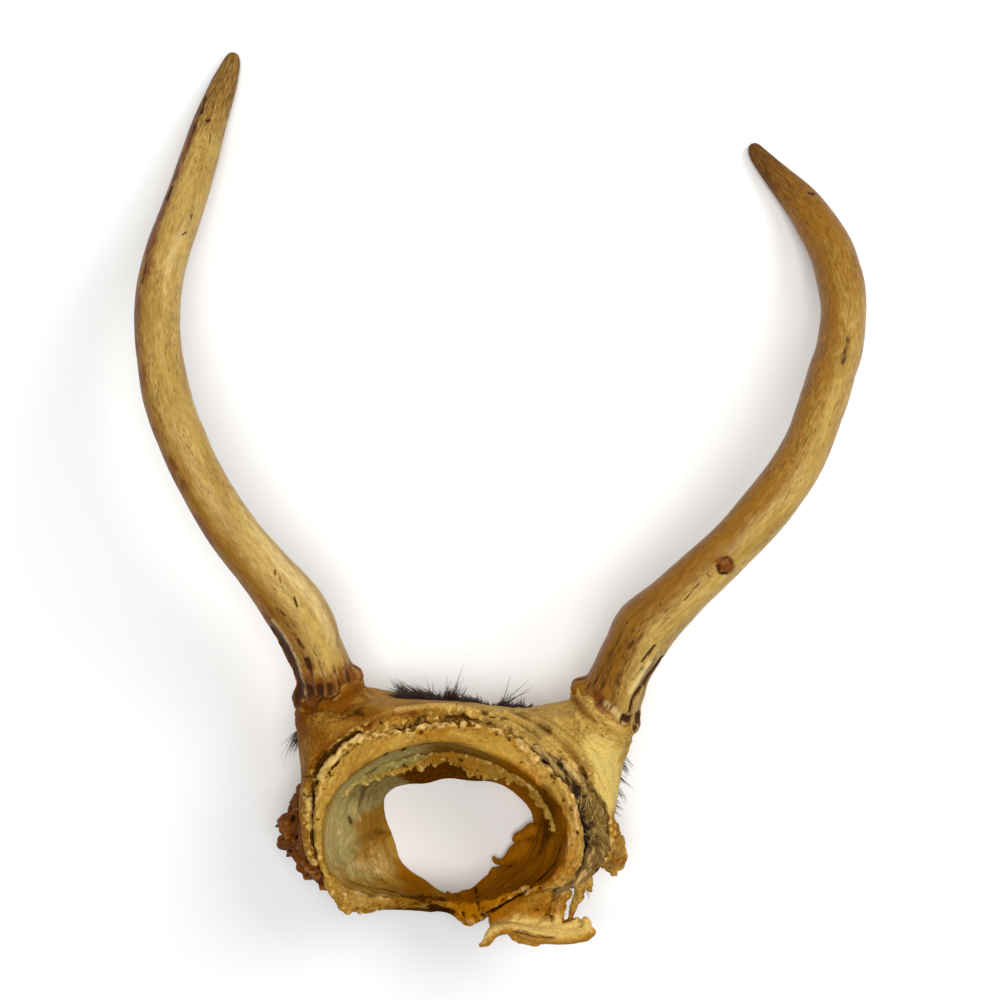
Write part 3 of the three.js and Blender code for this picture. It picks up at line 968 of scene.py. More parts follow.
@dataclass
class Antler:
    """Spike swept along its centre line, with a pearled burr, pits and scars.

    Angles run round the beam from the side that faces up, towards the object's right.
    """

    node: str
    seed: int
    spine: tuple[Station, ...]
    burr_base: tuple[float, float, float]
    burr_axis: tuple[float, float, float]
    pedicle_root: tuple[float, float, float]
    burr_radius: float
    knobs: tuple[Knob, ...]
    marks: tuple[Stroke, ...]
    # side that is painted brown: partly stain, partly painted shade away from the key lamp
    brown_shade_side: float = -80.0
    brown_shade_amount: float = 0.9
    burr_brown: float = 0.7
    tip_brown: tuple[float, float, float] = (168.0, 212.0, 0.6)
    shaded_edge_rust: float = 0.8
    tip_soil: float = 0.42
    around: int = 150
    along: int = 540
    pearls: int = 15
    pits: int = 13

    @property
    def axis(self) -> Array:
        """Unit vector along which the antler leaves its pedicle."""
        return np.array(self.burr_axis) / np.linalg.norm(self.burr_axis)

    def centre_line(self) -> tuple[Array, Array, Array, Array]:
        """Rings along the beam.

        Returns:
            Their centres, radii and heights, and for each the axes ahead, up and to the side.
        """
        stations = [(*self.burr_base, self.spine[0][3] + 1.7), *self.spine[1:]]
        path = smooth_path(stations, 24)
        steps = np.linalg.norm(np.diff(path[:, :3], axis=0), axis=1)
        run = np.concatenate([[0.0], np.cumsum(steps)])
        tip = run[-1] + path[-1, 3] * 0.6
        share = np.linspace(0.0, 1.0, self.along)
        height = tip * (0.85 * share + 0.15 * share**1.8)
        held = np.minimum(height, run[-1])
        centre = np.stack([np.interp(held, run, path[:, k]) for k in range(3)], axis=1)
        radius = np.interp(held, run, path[:, 3])
        ahead = np.gradient(centre, axis=0)
        ahead[height >= run[-1]] = ahead[np.searchsorted(height, run[-1]) - 2]
        ahead /= np.linalg.norm(ahead, axis=1, keepdims=True)
        centre += ahead * (height - held)[:, None]
        dome = np.clip((height - (tip - 2.4)) / 2.4, 0.0, 1.0)
        radius = radius * np.sqrt(np.maximum(1.0 - dome**2.2, 1e-4))
        up = np.array([0.0, 0.0, 1.0]) - ahead * ahead[:, 2:3]
        up /= np.linalg.norm(up, axis=1, keepdims=True)
        return centre, radius, height, np.stack([ahead, up, np.cross(ahead, up)], axis=1)

    def turn_from(self, angle: Array, middle: float) -> Array:
        """Angle between each vertex and a middle, from 0 to pi."""
        return np.abs(np.mod(angle - middle + math.pi, 2 * math.pi) - math.pi)

    def burr(self, height: Array, angle: Array, rng: np.random.Generator) -> Array:
        """Swelling of the burr over the beam, with its pearls and knobs.

        Args:
            height: Height of each vertex along the beam.
            angle: Angle of each vertex round the beam.
            rng: Source of random numbers.

        Returns:
            How far each vertex stands out.
        """
        swell = (self.burr_radius - 9.3) * np.exp(-(((height - 1.6) / 2.4) ** 4))
        for level, size, count, rise in ((1.8, 1.5, self.pearls, 1.0), (4.8, 1.1, 9, 0.7)):
            for k in range(count):
                middle = (k + rng.uniform(-0.3, 0.3)) * 2 * math.pi / count
                wide = size * rng.uniform(0.7, 1.2)
                gap = (self.turn_from(angle, middle) * 8.8 / wide) ** 2
                gap = gap + ((height - level - rng.normal(0.0, 0.6)) / wide) ** 2
                swell = swell + rise * rng.uniform(0.4, 1.1) * np.exp(-gap)
        for knob in self.knobs:
            gap = (self.turn_from(angle, math.radians(knob.angle)) * 9.0 / knob.radius) ** 2
            gap = gap + ((height - knob.height) / knob.radius) ** 2
            swell = np.maximum(swell, knob.rise * np.exp(-(gap**1.4)) + 0.3 * swell)
        return swell

    def base_pits(self, height: Array, angle: Array, rng: np.random.Generator) -> Array:
        """Ring of long pits just above the burr, from 0 to 1.

        Args:
            height: Height of each vertex along the beam.
            angle: Angle of each vertex round the beam.
            rng: Source of random numbers.

        Returns:
            How deep each vertex lies in a pit.
        """
        share = np.zeros(len(height))
        for k in range(self.pits):
            middle = (k + rng.uniform(-0.35, 0.35)) * 2 * math.pi / self.pits
            level = rng.uniform(3.5, 8.0)
            length = rng.uniform(1.2, 2.8)
            wide = rng.uniform(0.35, 0.75)
            gap = (self.turn_from(angle, middle) * 8.3 / wide) ** 2 + ((height - level) / length) ** 2
            share = np.maximum(share, rng.uniform(0.5, 1.0) * np.exp(-gap))
        return share

    def unrolled(self, height: Array, angle: Array) -> tuple[Array, Array, Array]:
        """Places where the beam reads its noise.

        Args:
            height: Height of each vertex along the beam.
            angle: Angle of each vertex round the beam.

        Returns:
            Round the beam, streaked along it, and even.
        """
        rounded = np.column_stack([8.0 * np.cos(angle), 8.0 * np.sin(angle)])
        streaky = np.column_stack([rounded, height * 0.11])
        return rounded, streaky, np.column_stack([rounded, height])

    def skin(self) -> Skin:
        """Mesh of the beam with its relief, its stains, painted shade and painted highlights.

        Returns:
            The mesh.
        """
        rng = np.random.default_rng(self.seed)
        noise = Noise(self.seed)
        centre, radius, level, axes = self.centre_line()
        turn = np.linspace(0.0, 2 * math.pi, self.around, endpoint=False)
        height = np.repeat(level, self.around)
        angle = np.tile(turn, self.along)
        girth = np.repeat(radius, self.around)
        ahead, up, side = (np.repeat(axes[:, k], self.around, axis=0) for k in range(3))
        spoke = up * np.cos(angle)[:, None] + side * np.sin(angle)[:, None]
        slant = -(spoke @ self.axis) / np.maximum(ahead @ self.axis, 0.3) * girth
        shear = slant * fall(height, 0, 16)
        rounded, streaky, even = self.unrolled(height, angle)
        base = np.exp(-height / 15.0)
        gutter = fade(1.0 - np.abs(noise.layered(streaky, 3.4, 2)) * 1.6, 0.62, 1)
        gutter = gutter * fall(height, 20, 75) * fade(height, 5, 12)
        fine = fade(1.0 - np.abs(noise.layered(streaky + 40, 1.5, 2)) * 1.6, 0.66, 1)
        pitted = self.base_pits(height, angle, rng)
        relief = 0.28 * noise.layered(even, 15, 2) * fade(height, 2, 30)
        relief += 0.07 * noise.layered(even, 3, 2)
        relief -= gutter * (0.45 * base + 0.05) + fine * (0.1 * base + 0.03) + 0.7 * pitted
        relief *= 1.0 - 0.7 * fade(height, 150, 195)
        relief += self.burr(height, angle, rng) * fall(height, 10, 14)
        relief += 0.25 * noise.layered(even, 1.6, 2) * fall(height, 3, 12)
        length = girth + relief * fade(girth, 0.3, 2.2)
        points = np.repeat(centre, self.around, axis=0) + spoke * length[:, None]
        points += ahead * shear[:, None]
        skin = Skin(points, self.quads(), np.column_stack([rounded, height * 0.28]), noise)
        self.stain(skin, height, angle, gutter, fine, pitted, noise)
        skin.draw(self.marks)
        skin.points[:, 2] = np.maximum(skin.points[:, 2], 0.02)
        return skin

    def quads(self) -> Array:
        """Faces between the rings.

        Returns:
            Four vertex numbers for each face.
        """
        i, j = np.meshgrid(np.arange(self.along - 1), np.arange(self.around), indexing="ij")
        here = (i * self.around + j).ravel()
        after = (i * self.around + (j + 1) % self.around).ravel()
        return np.stack([here, after, after + self.around, here + self.around], axis=1)

    def stain(
        self, skin: Skin, height: Array, angle: Array, gutter: Array, fine: Array,
        pitted: Array, noise: Noise,
    ) -> None:
        """Lay grime and painted shade in hollows, brown stain and painted shade on the side away from the
        key lamp, brown at both ends, and pale crests that are partly rubbed and partly painted highlights.

        Args:
            skin: The beam.
            height: Height of each vertex along the beam.
            angle: Its angle round the beam.
            gutter: How deep it lies in a wide furrow.
            fine: How deep it lies in a fine one.
            pitted: How deep it lies in a pit above the burr.
            noise: Noise that breaks up the edges.
        """
        _, streaky, even = self.unrolled(height, angle)
        low = np.exp(-height / 22.0)
        skin.stain(SOIL, gutter * (0.1 + 0.6 * low) + fine * (0.08 + 0.3 * low))
        skin.stain(SOIL, pitted * 1.1)
        # painted shade in hollows, deepest near the burr, partly grime
        skin.stain(SOIL, fade(skin.hollows(5), 0.03, 0.2) * (0.2 + 0.9 * np.exp(-height / 8)))
        # brown on one side: partly stain, partly painted shade on the side away from the key lamp
        side = 0.5 + 0.5 * np.cos(angle - math.radians(self.brown_shade_side))
        spread = side + 0.2 * noise.layered(streaky, 7, 3) + 0.16 * np.exp(-height / 45)
        brown = fade(spread, 0.42, 1) * self.brown_shade_amount * (0.78 + 0.22 * np.exp(-height / 60))
        skin.stain(WASH, brown)
        # rust down the middle of that side: partly stain, partly painted shade along the dark edge
        edge = fade(side + 0.3 * noise.layered(even, 5, 3), 0.76, 1.08) * self.brown_shade_amount
        skin.stain(RUST, edge * self.shaded_edge_rust)
        start, end, depth = self.tip_brown
        tip = fade(height + 12.0 * noise.layered(even, 12, 3), start, end)
        skin.stain(WASH, tip * depth)
        skin.stain(SOIL, fade(height + 6.0 * noise.layered(even, 5, 3), 160, 205) * self.tip_soil)
        skin.stain(RUST, np.exp(-((height / 9.0) ** 2)) * self.burr_brown)
        # pale crests on the other side: partly rubbed, partly painted highlights where the light falls
        crest = fade(noise.layered(streaky + 90, 6, 3), 0.05, 0.6) * (1.0 - side)
        skin.stain(PALE, crest * 0.75 * (1.0 - tip) * fade(height, 6, 20))

    def build(self) -> bpy.types.Object:
        """Make the antler's object in place of its CAD node."""
        return self.skin().build(self.node.replace("_", "_spike_"), ANTLER, self.node)


LEFT_ANTLER = Antler(
    node="antler_left",
    seed=11,
    spine=(
        (-49.2, -57.1, 33.5, 6.5), (-50.2, -50.9, 36.2, 8), (-52.5, -44.6, 38.8, 8),
        (-54.8, -38.3, 41.5, 8.5), (-58.5, -31.8, 44.5, 8.3), (-65.9, -22.2, 48, 7.2),
        (-73.6, -12, 51, 6.9), (-80.6, -0.5, 52, 6.6), (-86.4, 11.4, 51, 6.5),
        (-91.3, 23.6, 47.5, 6.5), (-94.4, 36.3, 42.5, 6.2), (-95.7, 46.5, 38, 6.2),
        (-95.7, 57.1, 32.5, 6.2), (-94.1, 67.5, 26.5, 6.2), (-91.2, 79.7, 19.5, 5.9),
        (-88, 93.7, 12.8, 5.5), (-85.1, 106.3, 7.5, 4.8), (-82, 116.8, 4.1, 3.9),
        (-80.1, 122.6, 2.9, 2.9), (-79.2, 126.1, 2.5, 2),
    ),
    burr_base=(-48.4, -58.8, 32.7),
    burr_axis=(-0.45, 0.8, 0.39),
    pedicle_root=(-37.5, -69.6, 24.0),
    burr_radius=9.9,
    knobs=(Knob(88, 3.4, 3, 2.3), Knob(-86, 3.2, 3.4, 2.2), Knob(-50, 1.6, 2.2, 1.4)),
    marks=(
        mark(1.8, 1.1, -0.9, (-65.2, -40.8), (-62.6, -44.4), (-60.2, -48), (-58.9, -52.6),
             (-57.8, -57.4), (-58, -61)),
        streak(RUST, 1, 0.9, 0, (-64, -40.6), (-61, -44.6), (-58.6, -49), (-57.2, -54),
               (-56.4, -59)),
        streak(PALE, 0.5, 0.5, 0.3, (-64.6, -37.6), (-61.3, -42), (-57.9, -48.4), (-56.4, -53.4),
               (-55.4, -58.4)),
        streak(RUST, 1.5, 0.45, 0, (-54.8, -48), (-54.2, -52.6)),
        streak(RUST, 1.8, 0.5, 0, (-54, -55), (-53.6, -60)),
        streak(RUST, 1.5, 0.4, 0, (-51.6, -55), (-51.2, -59.6)),
        streak(RUST, 1.3, 0.35, 0, (-48, -54), (-48.4, -59.6)),
        streak(RUST, 1.6, 0.4, 0, (-46, -52), (-44.4, -58.6)),
        streak(RUST, 1.3, 0.45, 0, (-43.8, -51.4), (-42, -57)),
        streak(PALE, 0.6, 0.22, 0.6, (-52.8, -52), (-52.6, -55.6), (-52.4, -58.4)),
        streak(PALE, 0.5, 0.18, 0.6, (-50.2, -53), (-49.9, -56.6), (-50, -58.6)),
        streak(PALE, 0.5, 0.18, 0.6, (-47.2, -53.6), (-46.9, -56), (-46.4, -57.8)),
        streak(PALE, 0.5, 0.22, 0.6, (-45, -52.2), (-44.4, -55), (-43.6, -56.8)),
        mark(0.9, 0.9, -0.6, (-48.6, -56), (-48.4, -58.2)),
        mark(1, 0.8, -0.8, (-55, -49), (-54.5, -51.2)),
        mark(0.9, 1, -0.7, (-54, -56.8), (-53.7, -58.4)),
        mark(0.9, 1, -0.7, (-51.6, -56.4), (-51.3, -58.4)),
        mark(0.8, 0.7, -0.3, (-47.6, -50.6), (-46.8, -53)),
        mark(0.5, 1, -0.4, (-46.2, -54.6), (-44.6, -58)),
        mark(0.5, 1, -0.4, (-43.6, -52.4), (-42.2, -57)),
        mark(0.28, 1.2, -0.2, (-58.6, -31.2), (-57.8, -33.8)),
        mark(0.3, 1.1, -0.2, (-64, -23.8), (-63.9, -24.8)),
        mark(0.3, 1.1, -0.2, (-62.7, -25.8), (-62.4, -27)),
        mark(0.45, 1, -0.2, (-57.6, -43), (-55.9, -45.6)),
        mark(0.6, 0.5, -0.1, (-59.2, -38), (-58.4, -39.4)),
        mark(0.5, 0.5, -0.1, (-63.6, -34.2), (-61.2, -36.4)),
        mark(0.6, 0.45, -0.1, (-54.4, -35), (-53.2, -38)),
        mark(0.45, 1, -0.1, (-82.9, 102.1), (-82.3, 102.3)),
        mark(0.3, 1, 0, (-86.4, 100.7), (-86.3, 100.8)),
        mark(0.35, 0.8, -0.1, (-83.4, 108.6), (-84.6, 104.4)),
        mark(0.3, 0.8, 0, (-82, 98.4), (-82.4, 96)),
        mark(0.3, 0.9, 0, (-83, 88.9), (-83.1, 89)),
        mark(0.3, 0.9, 0, (-87.2, 76.1), (-87.6, 74.4)),
        mark(0.35, 1, 0, (-88.9, 71), (-90, 70.2)),
        mark(0.6, 0.9, -0.1, (-92.8, 83.6), (-94.2, 80.6)),
        mark(0.5, 0.7, -0.1, (-99.6, 66), (-100.6, 59.4)),
        mark(0.5, 0.9, -0.1, (-100.9, 58.6), (-101.2, 57)),
        mark(0.22, 0.7, -0.1, (-85.6, 0), (-83.6, -0.6), (-82.6, -2), (-83.2, -3.2)),
        mark(0.7, 0.34, -0.1, (-84.4, 106), (-87.6, 97), (-91, 88), (-95, 78), (-97.6, 70)),
        streak(RUST, 1.4, 0.5, 0, (-86.6, 100), (-92.6, 86), (-97.4, 72), (-99.6, 60)),
        mark(0.5, 0.4, -0.1, (-96.6, 20), (-93, 8), (-88.4, -4)),
    ),
)

RIGHT_ANTLER = Antler(
    node="antler_right",
    seed=23,
    spine=(
        (29.1, -61.3, 33.5, 6.5), (30.6, -56.9, 35.3, 8.4), (32.9, -50.6, 38.2, 8),
        (35.7, -44.9, 41, 8.2), (39, -38.7, 44, 8.5), (46.1, -31.4, 47.5, 7.5),
        (55.2, -22.2, 50.5, 6.9), (63.3, -14.4, 51.5, 6.7), (71, -5.9, 50.5, 7),
        (78.2, 3.2, 47.5, 6.9), (83.4, 12.1, 43.5, 6.5), (87.6, 21.7, 38.5, 6.5),
        (91.5, 31.4, 32.5, 6.5), (94.6, 39.8, 27.5, 6.5), (96.5, 50.5, 22, 6.5),
        (96.1, 59.5, 17.6, 6.7), (94.2, 68.3, 13.2, 6.4), (90.5, 76.6, 9, 5.9),
        (85.8, 84, 5.5, 5.1), (79.9, 90.8, 3.9, 3.8), (75.2, 96.5, 2.8, 2.7),
        (73.2, 99.5, 2.5, 1.9),
    ),
    burr_base=(27.7, -62.9, 32.7),
    burr_axis=(0.54, 0.74, 0.4),
    pedicle_root=(11.6, -74.5, 24.0),
    burr_radius=10.2,
    knobs=(Knob(-88, 2.6, 3.2, 2.9), Knob(84, 2, 3.6, 2.4), Knob(60, 0.6, 2.4, 1.6)),
    brown_shade_side=-65.0,
    brown_shade_amount=1.0,
    burr_brown=0.4,
    tip_brown=(80.0, 190.0, 0.85),
    shaded_edge_rust=0.32,
    tip_soil=0.55,
    marks=(
        mark(0.6, 1.2, -0.6, (42.4, -44.9), (38.8, -49.4)),
        mark(0.5, 0.6, -0.3, (38.8, -51), (36, -54.7)),
        mark(0.7, 1.1, -0.6, (44.6, -48.2), (41.4, -52.4), (39.2, -55.8)),
        mark(0.6, 1.2, -0.7, (38.2, -56.6), (36.2, -60), (35.4, -63.4)),
        mark(1.3, 1.1, -0.8, (33.7, -65), (34.8, -65.6)),
        mark(0.8, 1, -0.4, (37.4, -63.9), (37.4, -66.2)),
        mark(0.8, 1, -0.4, (36.8, -67.8), (35.4, -70.1)),
        streak(PALE, 0.6, 0.9, 0.3, (40.7, -49.4), (35.4, -57.8)),
        streak(PALE, 0.6, 1, 0.4, (44.8, -50.2), (40.2, -57.8), (38.2, -63.9)),
        # painted sheen: pale streak on the burr's front where the skin's folds meet it
        streak(PALE, 1.5, 0.5, 0.2, (29, -61), (32.4, -64.8), (35.4, -67.6)),
        streak(RUST, 1.2, 0.7, 0, (27.6, -60.4), (26.6, -58.6)),
        mark(0.35, 1, -0.2, (36.2, -43.5), (35.1, -45.7)),
        mark(0.3, 0.6, -0.1, (32.9, -41.5), (31.5, -44.3)),
        mark(0.35, 0.9, -0.1, (43.8, -33.1), (43.8, -33.4)),
        mark(0.3, 0.7, -0.1, (34.6, -38.2), (34.6, -38.4)),
        mark(0.26, 1.2, -0.2, (54.7, -27.5), (52.5, -30), (50.5, -32.3)),
        mark(0.25, 0.6, -0.1, (46, -35.6), (44.6, -39)),
        mark(0.35, 0.8, -0.1, (57, -24.7), (57.8, -25.6)),
        streak(RUST, 2, 1.2, 0.7, (61.4, -21.9), (62.6, -22.2)),
        mark(0.7, 1.2, -0.6, (60, -22.6), (60.6, -24.4), (62.4, -24.6)),
        mark(0.5, 0.9, -0.4, (61, -20.2), (62.8, -20), (63.8, -21.4)),
        streak(SOIL, 0.85, 0.55, -0.1, (95, 34.6), (95.7, 37.6), (96.6, 41)),
        mark(0.45, 1, -0.1, (85.5, 82), (86.8, 81.7)),
        mark(0.3, 0.5, 0, (90, 70), (91.2, 72.4)),
        mark(0.3, 0.5, 0, (84.6, 90.4), (83, 92)),
    ),
)


# ------------------------ skull, skin and flesh


def turned(bearing: Array) -> Array:
    """Bearing counted from -90, so that its seam lies at the bottom of the ring."""
    return np.mod(bearing + 90.0, 360.0) - 90.0


def window(value: Array, low: float, high: float, soft: float) -> Array:
    """Soft window: 1 from low to high, and 0 outside."""
    return fade(value, low - soft, low + soft) * fall(value, high - soft, high + soft)


@dataclass
class SkullRing:
    """Sawn ring of braincase, open front and rear, ragged at the bottom."""

    step: float = 0.52
    seed: int = 5
    crumbs: int = 420
    beads: int = 12
    spike: tuple[Station, ...] = (
        (6.5, -105.5, 6, 2.6), (3, -108, 5, 1.6), (0.4, -109.7, 4.5, 0.9), (-2, -109.8, 4, 0.6),
        (-3, -108.4, 4, 0.3),
    )
    shelf: tuple[Station, ...] = (
        (8.5, -100, 6, 1.7), (5.6, -102.2, 5, 1.2), (3.8, -103.4, 5, 0.5),
    )
    marks: tuple[Stroke, ...] = (
        streak(RUST, 1, 0.3, 1.2, (-47.6, -109.4), (-44.6, -105.6), (-39.8, -101.6),
               (-35.6, -98.8), (-33, -97.6)),
        streak(SOIL, 1.1, 0.22, -0.6, (-47, -106.6), (-43.6, -102.2), (-38.8, -98.6),
               (-34.4, -96.4)),
        streak(RUST, 2.4, 0.2, 0, (-40.4, -96), (-37, -94.6), (-33, -94)),
        streak(WASH, 3, 0.5, 0, (-42.6, -107), (-39.6, -108.4), (-37.4, -109.4)),
        # pale streak on the lower left wall: paler bone with a painted highlight on a low ridge
        streak(PALE, 2.4, 0.45, 0.4, (-42, -106.2), (-38.6, -106.4), (-35, -107.8)),
        mark(0.6, 0.6, -0.6, (-43.6, -110.2), (-38, -112), (-32, -112.8), (-26, -115.2)),
        mark(0.4, 0.8, -0.7, (-49.7, -81.8), (-47.2, -78.2), (-44.1, -75.4), (-40.8, -72.3)),
        streak(SOIL, 2, 0.32, 0, (-8, -113), (-6, -117), (-5, -120)),
        # another pale streak there: paler bone with a painted highlight
        streak(PALE, 2.2, 0.26, 0.4, (-37, -100.8), (-34.4, -104), (-31, -107.4)),
        streak(RUST, 2.2, 0.6, 0, (-29.6, -106), (-26.4, -110.4), (-22, -113)),
        mark(0.9, 0.22, -0.6, (-42, -86.6), (-43.4, -91), (-42, -95)),
        mark(0.9, 0.2, -0.5, (-38.6, -84.6), (-39.8, -89), (-38.4, -92.4)),
        streak(PALE, 0.6, 0.4, 0.5, (-40.4, -86), (-41.6, -90.6), (-40.2, -93.6)),
        streak(SOIL, 0.5, 0.5, -0.2, (-42.6, -93), (-42.2, -94.4)),
        streak(PALE, 1.2, 0.35, 0.3, (-45.6, -97), (-44.4, -99.6), (-42.6, -98.2)),
        streak(PALE, 1.2, 0.5, 0.3, (-41, -113.6), (-35, -115), (-29, -113.8)),
        mark(0.5, 1, -0.3, (-33.2, -75.7), (-32.4, -75.1)),
        mark(0.5, 1, -0.3, (-28.4, -74.3), (-27.6, -73.7)),
        mark(0.3, 0.6, -0.1, (-22, -71.6), (-20.6, -71.4)),
        mark(0.45, 1.1, -0.6, (15.8, -101.2), (14.1, -105.6), (9.4, -110.4), (5.7, -114),
             (0.7, -117.1), (-4.9, -119.9)),
        mark(1.4, 0.9, -0.8, (-20, -118.2), (-17.2, -119.2), (-14.4, -119.4)),
        mark(0.8, 0.7, -0.5, (-24, -114.6), (-19, -115.6), (-13, -115.4)),
        mark(0.7, 0.6, -0.4, (-32, -113.5), (-26.5, -114.8), (-22, -116.5)),
        streak(RUST, 1.5, 0.9, 0.7, (-11.4, -114.5), (-9.4, -121.5)),
        mark(0.5, 0.8, -0.5, (-8, -112), (-7, -119)),
        mark(0.5, 0.7, -0.4, (-13, -113), (-12.6, -118)),
        streak(SOIL, 2.6, 0.5, 0, (11.6, -85.2), (13.8, -89.7), (12, -95)),
        mark(0.5, 0.5, -0.3, (-1, -112.5), (5.5, -106.5), (9.5, -99)),
        mark(0.4, 0.5, -0.3, (4.5, -112), (10, -107)),
        streak(SOIL, 1.5, 0.45, 0, (13.5, -98), (10.5, -103)),
        streak(PALE, 1.2, 0.12, 0.7, (1, -112), (6, -108.5), (11, -104), (14.5, -98)),
        streak(RUST, 1.3, 0.6, 0, (8, -112), (12, -107.5)),
        streak(PALE, 1.3, 0.16, 0.4, (12.4, -75), (17.4, -82), (20, -90), (19.4, -98), (16, -104)),
        Stroke(((12.4, -91.4), (12.8, -96), (11.4, -100)), 1.4, SOIL, 0.12, 0.8, 8.0, 44.0),
        mark(0.5, 0.4, -0.4, (10.4, -76.6), (15.4, -84), (17.6, -92), (16.6, -99)),
        streak(RUST, 1.9, 0.9, 0, (14.5, -107), (9, -111.6), (2.5, -115.6), (-3.5, -117.4)),
        streak(PALE, 1.3, 0.3, 0.4, (-46.5, -112), (-43, -116), (-38, -117.5)),
        mark(0.4, 0.7, -0.3, (-49, -108.5), (-44.5, -113.5), (-37, -115.5)),
    )

    def shape(self, points: Array) -> Array:
        """Field of the bone.

        Args:
            points: Rows of [x, y, z].

        Returns:
            Distance from its surface, below 0 inside.
        """
        bearing, radius = FORM.polar(points)
        height = points[:, 2]
        wall = blend_max(
            radius - FORM.outside(bearing, height), FORM.inside(bearing, height) - radius, 1.0
        )
        ends = np.maximum(height - FORM.rim(bearing), -height)
        bone = blend_max(wall, ends, 1.3)
        near = (height < 11.0) & (points[:, 0] > -7.0) & (points[:, 1] < -94.0)
        if near.any():
            torn = np.minimum(rod(points[near], self.spike), rod(points[near], self.shelf))
            bone[near] = blend_min(bone[near], torn, 1.0)
        return bone

    def rim_crumbs(self, rng: np.random.Generator) -> tuple[Array, Array, Array]:
        """Places, sizes and rises of the crumbs of spongy bone along the rim's outer edge.

        Args:
            rng: Source of random numbers.

        Returns:
            Centre, size and rise of each crumb.
        """
        bearing = np.concatenate([
            rng.uniform(-20.0, 136.0, self.crumbs), rng.uniform(170.0, 300.0, self.crumbs // 5),
        ])
        size = rng.uniform(0.35, 0.8, len(bearing))
        height = FORM.rim(bearing) - rng.uniform(0.0, 1.2, len(bearing))
        radius = FORM.outside(bearing, height) - rng.uniform(0.0, 2.4, len(bearing))
        rise = size * rng.uniform(0.2, 0.5, len(size))
        inward = (rng.uniform(0.0, 1.0, len(size)) < 0.3) & (turned(bearing) < 60.0)
        radius = np.where(inward, FORM.inside(bearing, height) + rng.uniform(0.2, 2.0, len(size)), radius)
        row = np.linspace(134.0, 160.0, self.beads) + rng.uniform(-0.5, 0.5, self.beads)
        wide = rng.uniform(1.1, 1.6, self.beads)
        row_height = FORM.rim(row) - 0.5
        row_radius = FORM.outside(row, row_height) - 0.5
        return (
            np.vstack([FORM.place(bearing, radius, height), FORM.place(row, row_radius, row_height)]),
            np.concatenate([size, wide]),
            np.concatenate([rise, wide * 0.55]),
        )

    def build(self) -> bpy.types.Object:
        """Mesh, crumble and stain the bone, and paint shade and highlights on it.

        Returns:
            The new object.
        """
        noise = Noise(self.seed)
        rng = np.random.default_rng(self.seed)
        skin = surface_of(self.shape, (-57, -127, -1), (25, -60, 53), self.step, noise)
        bearing, radius = FORM.polar(skin.points)
        height = skin.points[:, 2].copy()
        arc = turned(bearing)
        rim = fade(height - FORM.rim(bearing), -6.5, -1.5)
        outer = fade(radius - FORM.outside(bearing, height), -2.8, -0.8)
        inner = fall(radius - FORM.inside(bearing, height), 0.4, 2.2)
        bottom = window(arc, 215, 262, 8) + fall(arc, -62, -15)
        skin.push(0.3 * skin.rough(10, 3))
        skin.push(bumps(skin.points, *self.rim_crumbs(rng)) * (1.0 - 0.4 * inner))
        crumbly = window(arc, 30, 128, 12)
        skin.push((0.45 + 0.4 * crumbly) * skin.rough(1.7, 2) * rim * outer)
        skin.push(0.8 * skin.rough(3, 3) * np.clip(bottom, 0, 1) * rim)
        torn = fall(arc, 25, 60)
        skin.push(0.7 * skin.rough(4.5, 2, 60) * rim * torn)
        rough = 0.14 + 0.3 * (window(arc, 150, 235, 12) + torn)
        skin.push(rough * skin.rough(1.7, 3) * rim)
        rings = np.column_stack([height, arc * 0.06, radius])
        steps = 0.7 * noise.layered(rings, 6, 2) + 0.12 * noise.layered(rings, 1.9, 2)
        skin.push(steps * inner * fade(FORM.rim(bearing) - height, 0, 4))
        ragged = fall(height, 2, 9) * fall(arc, -10, 25)
        spokes = skin.points[:, :2] - np.array(FORM.cavity_front)
        spokes /= np.maximum(np.linalg.norm(spokes, axis=1, keepdims=True), 1.0)
        tear = (1.3 * skin.rough(2.6, 2) - 0.4) * ragged
        skin.points[:, :2] += spokes * tear[:, None]
        self.stain(skin, arc, height, rim, outer, inner)
        skin.draw(self.marks)
        skin.points[:, 2] = np.maximum(skin.points[:, 2], 0.0)
        skin.grain = np.column_stack([height, arc * 0.17, radius])
        return skin.build("skull_bone", BONE, "skull_ring")

    def stain(
        self, skin: Skin, arc: Array, height: Array, rim: Array, outer: Array, inner: Array
    ) -> None:
        """Lay each region's colour, with painted shadow under the lining, painted shade in hollows and
        under the skin, and painted highlights on crests.

        Args:
            skin: The bone.
            arc: Bearing of each vertex, counted from -90.
            height: Height of each vertex before it was pushed.
            rim: How near it is to the rear rim.
            outer: How near it is to the outer face.
            inner: How near it is to the inner face.
        """
        wander = 14.0 * skin.rough(12, 3)
        loose = arc + wander
        level = height + 0.4 * wander
        reach = 18.0 - 30.0 * fall(loose, 148, 182)
        pale_wall = window(loose, 128, 200, 9)
        pale_wall = pale_wall * fade(level, reach - 9, reach + 9) * fall(level, 42, 50)
        skin.stain(WASH, inner * pale_wall)
        roof = window(loose, 108, 146, 12) * window(level, 27, 47, 3)
        skin.stain(WASH, inner * roof * 0.8)
        dusky = window(loose, 40, 112, 12) * window(level, 18, 48, 3)
        skin.stain(SOIL, inner * dusky * 0.4)
        # pale patch near the rim on the lower left wall: paler bone with a painted highlight
        skin.stain(PALE, inner * window(loose, 172, 206, 12) * window(level, 30, 45, 5) * 0.4)
